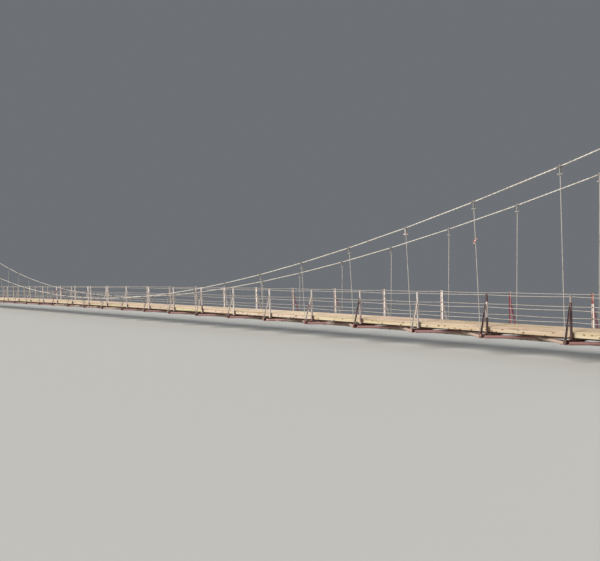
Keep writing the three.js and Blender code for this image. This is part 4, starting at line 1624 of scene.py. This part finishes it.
for section in SECTIONS:
    pipes = [crossed_pipe(k, sign) for k in bays_of(section) for sign in (-1, 1)]
    gussets, brackets = [], []
    for k in lines_of(section):
        for sign in (-1, 1):
            look = (draw.uniform(0.4, 0.9), draw.uniform(0.2, 0.5), draw.random())
            place = (carrier_x(k), sign * PIPE_END_Y, plate_top(carrier_x(k)))
            if 0 < k < BAY_COUNT:
                gussets.append(mark(place, look=look))
            else:
                brackets.append(mark(place, turn=(0, 0, 0 if k == 0 else math.pi), look=look))
    keel = [keel_length(k) for k in bays_of(section)]
    couplings = [length | {"stretch": (1, 1, 1)} for length in keel[::2]]
    straps = [mark((bay_x(k), 0, plate_top(bay_x(k))), look=(0.4, 0.5, 0.2)) for k in inner_lines(section)]
    meshes = [copied("pipes", pipe_shape("pipe", PIPE_RADIUS, 12), pipes, pipe_paint)]
    meshes.append(copied("gussets", gusset_shape(), gussets, pipe_paint))
    meshes.append(copied("keel", pipe_shape("keel", KEEL_RADIUS, 16), keel, keel_paint))
    meshes.append(copied("couplings", coupling_shape(), couplings, keel_paint))
    meshes.append(copied("straps", strap_shape(), straps, keel_paint))
    if brackets:
        meshes.append(copied("brackets", bracket_shape(), brackets, pipe_paint))
    new_piece(f"wind_pipes_{section}", meshes, [f"wind_bracing_{section}"])
print("wind bracing pipes:", 2 * BAY_COUNT)

# %% [markdown]
# ## Cable ends
# At each anchor block a rope ends in a cast socket, whose cone grips the splayed wires, and a bolted plate
# spreads its pull over the block's sloping face. The socket could be turned with a Screw modifier, but two
# rods and a cone are all it is. It shares one shape with the plate, and each copy is turned along the
# cable's own direction at its end.

# %% Sockets and anchor plates
def socket_shape():
    """The plate on the concrete, the collar, the cone and four bolts. +Z points away from the concrete."""
    shape = bmesh.new()
    add_box(shape, (-150, -150, -1), (150, 150, 24))
    add_pin(shape, 0, 0, 20, 70, 80, 24)
    add_cone(shape, (0, 0, 68), (0, 0, 285), 52, 29, 24)
    add_pin(shape, 0, 0, 270, 300, 34, 20)
    for x in (-112, 112):
        for y in (-112, 112):
            add_pin(shape, x, y, 20, 46, 21)
            add_pin(shape, x, y, 20, 74, 12, 10)
    return drawn("socket", shape, bevel=1.5)


for side in SIDES:
    points = [Vector(point) for point in cable_points(side)]
    ends = []
    for tip, inner in ((points[0], points[1]), (points[-1], points[-2])):
        turn = (inner - tip).to_track_quat("Z", "Y").to_euler()
        ends.append(mark(tip, turn=tuple(turn), look=(0.3, 0.4, 0.5)))
    sockets = copied("sockets", socket_shape(), ends, socket_zinc)
    new_piece(f"{side}_cable_ends", [sockets])
print("sockets:", 2 * len(SIDES))

# %% [markdown]
# ## Tower fittings
# The towers stand outside the photograph, so they are plain: square legs with a crossed frame above head
# height. What any such tower needs is added as small repeated shapes: base gussets, anchor bolts, flanged
# joints, bolted plates where the frame meets the legs and where its diagonals cross, and bars that keep the
# cable in its saddle. They could be modelled in place, but drawn once and copied they stay alike on both
# towers.

# %% Tower fitting shapes
LEG_HALF = 100
BASE_REACH = 205
BASE_BOLT = 185
FLANGE_HALF = 150
FLANGE_BOLT = 125
PLATE_HALF = 6
PLATE_BOLT = 18


def quarter_turns():
    return [Matrix.Rotation(quarter * math.pi / 2, 4, "Z") for quarter in range(4)]


def leg_base_shape():
    """Gussets and anchor bolts round a leg's foot, seen from the top of its base plate."""
    shape = bmesh.new()
    gusset = [(LEG_HALF, 0), (BASE_REACH, 0), (BASE_REACH, 20), (LEG_HALF, 190)]
    for turn in quarter_turns():
        for y in (-55, 55):
            upright = turn @ Matrix.Translation((0, y - 6, 0)) @ ALONG_Y
            add_prism(shape, gusset, 0, 12, upright)
        for y in (0, BASE_BOLT):
            foot = turn @ Vector((BASE_BOLT, y, 0))
            add_pin(shape, foot.x, foot.y, 0, 30, 20)
            add_pin(shape, foot.x, foot.y, 0, 62, 11, 10)
    return drawn("leg_base", shape, bevel=1.5)


def flange_shape():
    """Two flanges bolted face to face round a leg."""
    shape = bmesh.new()
    for z in (-17, 1):
        add_box(shape, (-FLANGE_HALF, -FLANGE_HALF, z), (FLANGE_HALF, FLANGE_HALF, z + 16))
    for turn in quarter_turns():
        for y in (-50, 50, FLANGE_BOLT):
            bolt = turn @ Vector((FLANGE_BOLT, y, 0))
            add_pin(shape, bolt.x, bolt.y, -34, 34, 16)
    return drawn("flange", shape, bevel=1.5)


def add_plate_bolts(shape, places):
    for y, z in places:
        add_rod(shape, (-PLATE_BOLT, y, z), (PLATE_BOLT, y, z), 15, 6)


def corner_plate_shape():
    """A bolted plate in the Y-Z plane, with its corner at the origin and its body towards +Y and +Z."""
    shape = bmesh.new()
    outline = [(0, 0), (330, 0), (330, 90), (110, 330), (0, 330)]
    add_prism(shape, outline, -PLATE_HALF, PLATE_HALF, ALONG_X)
    add_plate_bolts(shape, [(35, 35), (35, 140), (35, 245), (140, 35), (245, 35), (135, 135), (185, 185)])
    return drawn("corner_plate", shape, bevel=1.5)


def crossing_plate_shape():
    shape = bmesh.new()
    add_box(shape, (-PLATE_HALF, -150, -150), (PLATE_HALF, 150, 150))
    add_plate_bolts(shape, [(-95, -75), (-95, 75), (95, -75), (95, 75), (0, 0)])
    return drawn("crossing_plate", shape, bevel=1.5)


def saddle_bolt_shape():
    """A bar across a saddle that keeps the cable in its groove, with a nut at each end."""
    shape = bmesh.new()
    add_rod(shape, (0, -74, 0), (0, 74, 0), 8, 12)
    for side in (-1, 1):
        add_rod(shape, (0, side * 61, 0), (0, side * 75, 0), 12, 6)
    return drawn("saddle_bolt", shape, bevel=1)


print("tower fitting shapes ready")

# %% [markdown]
# ### Placing the tower fittings
# The legs, the frame's corners and the saddle's centre give every place. A corner plate takes half a turn
# about X at the upper corners, and half a turn about Z where its body would point away from the frame.

# %% Place the tower fittings
LEG_BASE = DECK_END_Z - DECK_DEPTH
BASE_PLATE = 25
FLANGE_SHARES = (0.36, 0.70)
BOLT_ARM = SADDLE_RADIUS + 30
BOLT_ANGLES = (-0.96 * inner_angle, 0.45 * outer_angle, 0.8 * outer_angle)
PLATE_X = 50 + PLATE_HALF
WORN_RED = (0.8, 0.35, 0.5)
leg_top = saddle_z + (SADDLE_RADIUS - CABLE_RADIUS) * math.cos(outer_angle) - 80 - SEAT_GAP
frame_low, frame_high = DECK_END_Z + 2500, leg_top - 120

for end, sign in ENDS.items():
    x = sign * TOWER_X
    bases, flanges, corners, crossings, bolts = [], [], [], [], []
    for across in (-1, 1):
        y = across * leg_y
        bases.append(mark((x, y, LEG_BASE + BASE_PLATE), look=WORN_RED))
        for share in FLANGE_SHARES:
            flanges.append(mark((x, y, LEG_BASE + (leg_top - LEG_BASE) * share), look=WORN_RED))
        for face in (-1, 1):
            for height, flip in ((frame_low, 0), (frame_high, math.pi)):
                place = (x + face * PLATE_X, across * (leg_y - LEG_HALF), height)
                turn = (flip, 0, math.pi if (across > 0) == (flip == 0) else 0)
                corners.append(mark(place, turn=turn, look=WORN_RED))
        for angle in BOLT_ANGLES:
            bolt_x, bolt_z = over_saddle(angle, BOLT_ARM)
            bolts.append(mark((sign * bolt_x, y, bolt_z)))
    for face in (-1, 1):
        crossings.append(mark((x + face * PLATE_X, 0, (frame_low + frame_high) / 2), look=WORN_RED))
    meshes = [copied("bases", leg_base_shape(), bases, fitting_paint)]
    meshes.append(copied("flanges", flange_shape(), flanges, fitting_paint))
    meshes.append(copied("corners", corner_plate_shape(), corners, fitting_paint))
    meshes.append(copied("crossings", crossing_plate_shape(), crossings, fitting_paint))
    new_piece(f"{end}_tower_fittings", meshes)
    saddle_bolts = copied("saddle_bolts", saddle_bolt_shape(), bolts, fitting_zinc)
    new_piece(f"{end}_saddle_bolts", [saddle_bolts])
print("tower height:", round(leg_top), "mm")

# %% [markdown]
# ## Concrete
# The abutments and anchor blocks keep the solid model's shape. Cast concrete never has knife edges, because
# fillets are nailed into the formwork, so each block is copied with its edges cut off at 45 degrees. A
# bevel after the coplanar triangles are merged does this without redrawing the blocks.

# %% Chamfered concrete
CHAMFER = 20


def chamfered(node):
    shape = bmesh.new()
    shape.from_mesh(node.data)
    shape.transform(Matrix.Scale(1 / mm(1), 4) @ node.matrix_world)
    bmesh.ops.remove_doubles(shape, verts=shape.verts, dist=0.1)
    bmesh.ops.dissolve_limit(shape, angle_limit=math.radians(1), verts=shape.verts, edges=shape.edges)
    return drawn("block", shape, bevel=CHAMFER)


block_names = [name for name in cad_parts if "abutment" in name or "anchor_block" in name]
for name in block_names:
    block = chamfered(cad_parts[name])
    block.materials.append(block_concrete)
    new_piece(f"cast_{name}", [block], [name])
print("concrete blocks:", len(block_names))

# %% [markdown]
# ## Finish
# The legs, the crossed frames and the saddles are shown as the solid model has them, so they only need
# their paint.

# %% Paint the towers and finish
for name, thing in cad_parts.items():
    paint = saddle_paint if "saddle" in name else tower_paint if "tower" in name else None
    for slot in thing.material_slots if paint else ():
        slot.material = paint
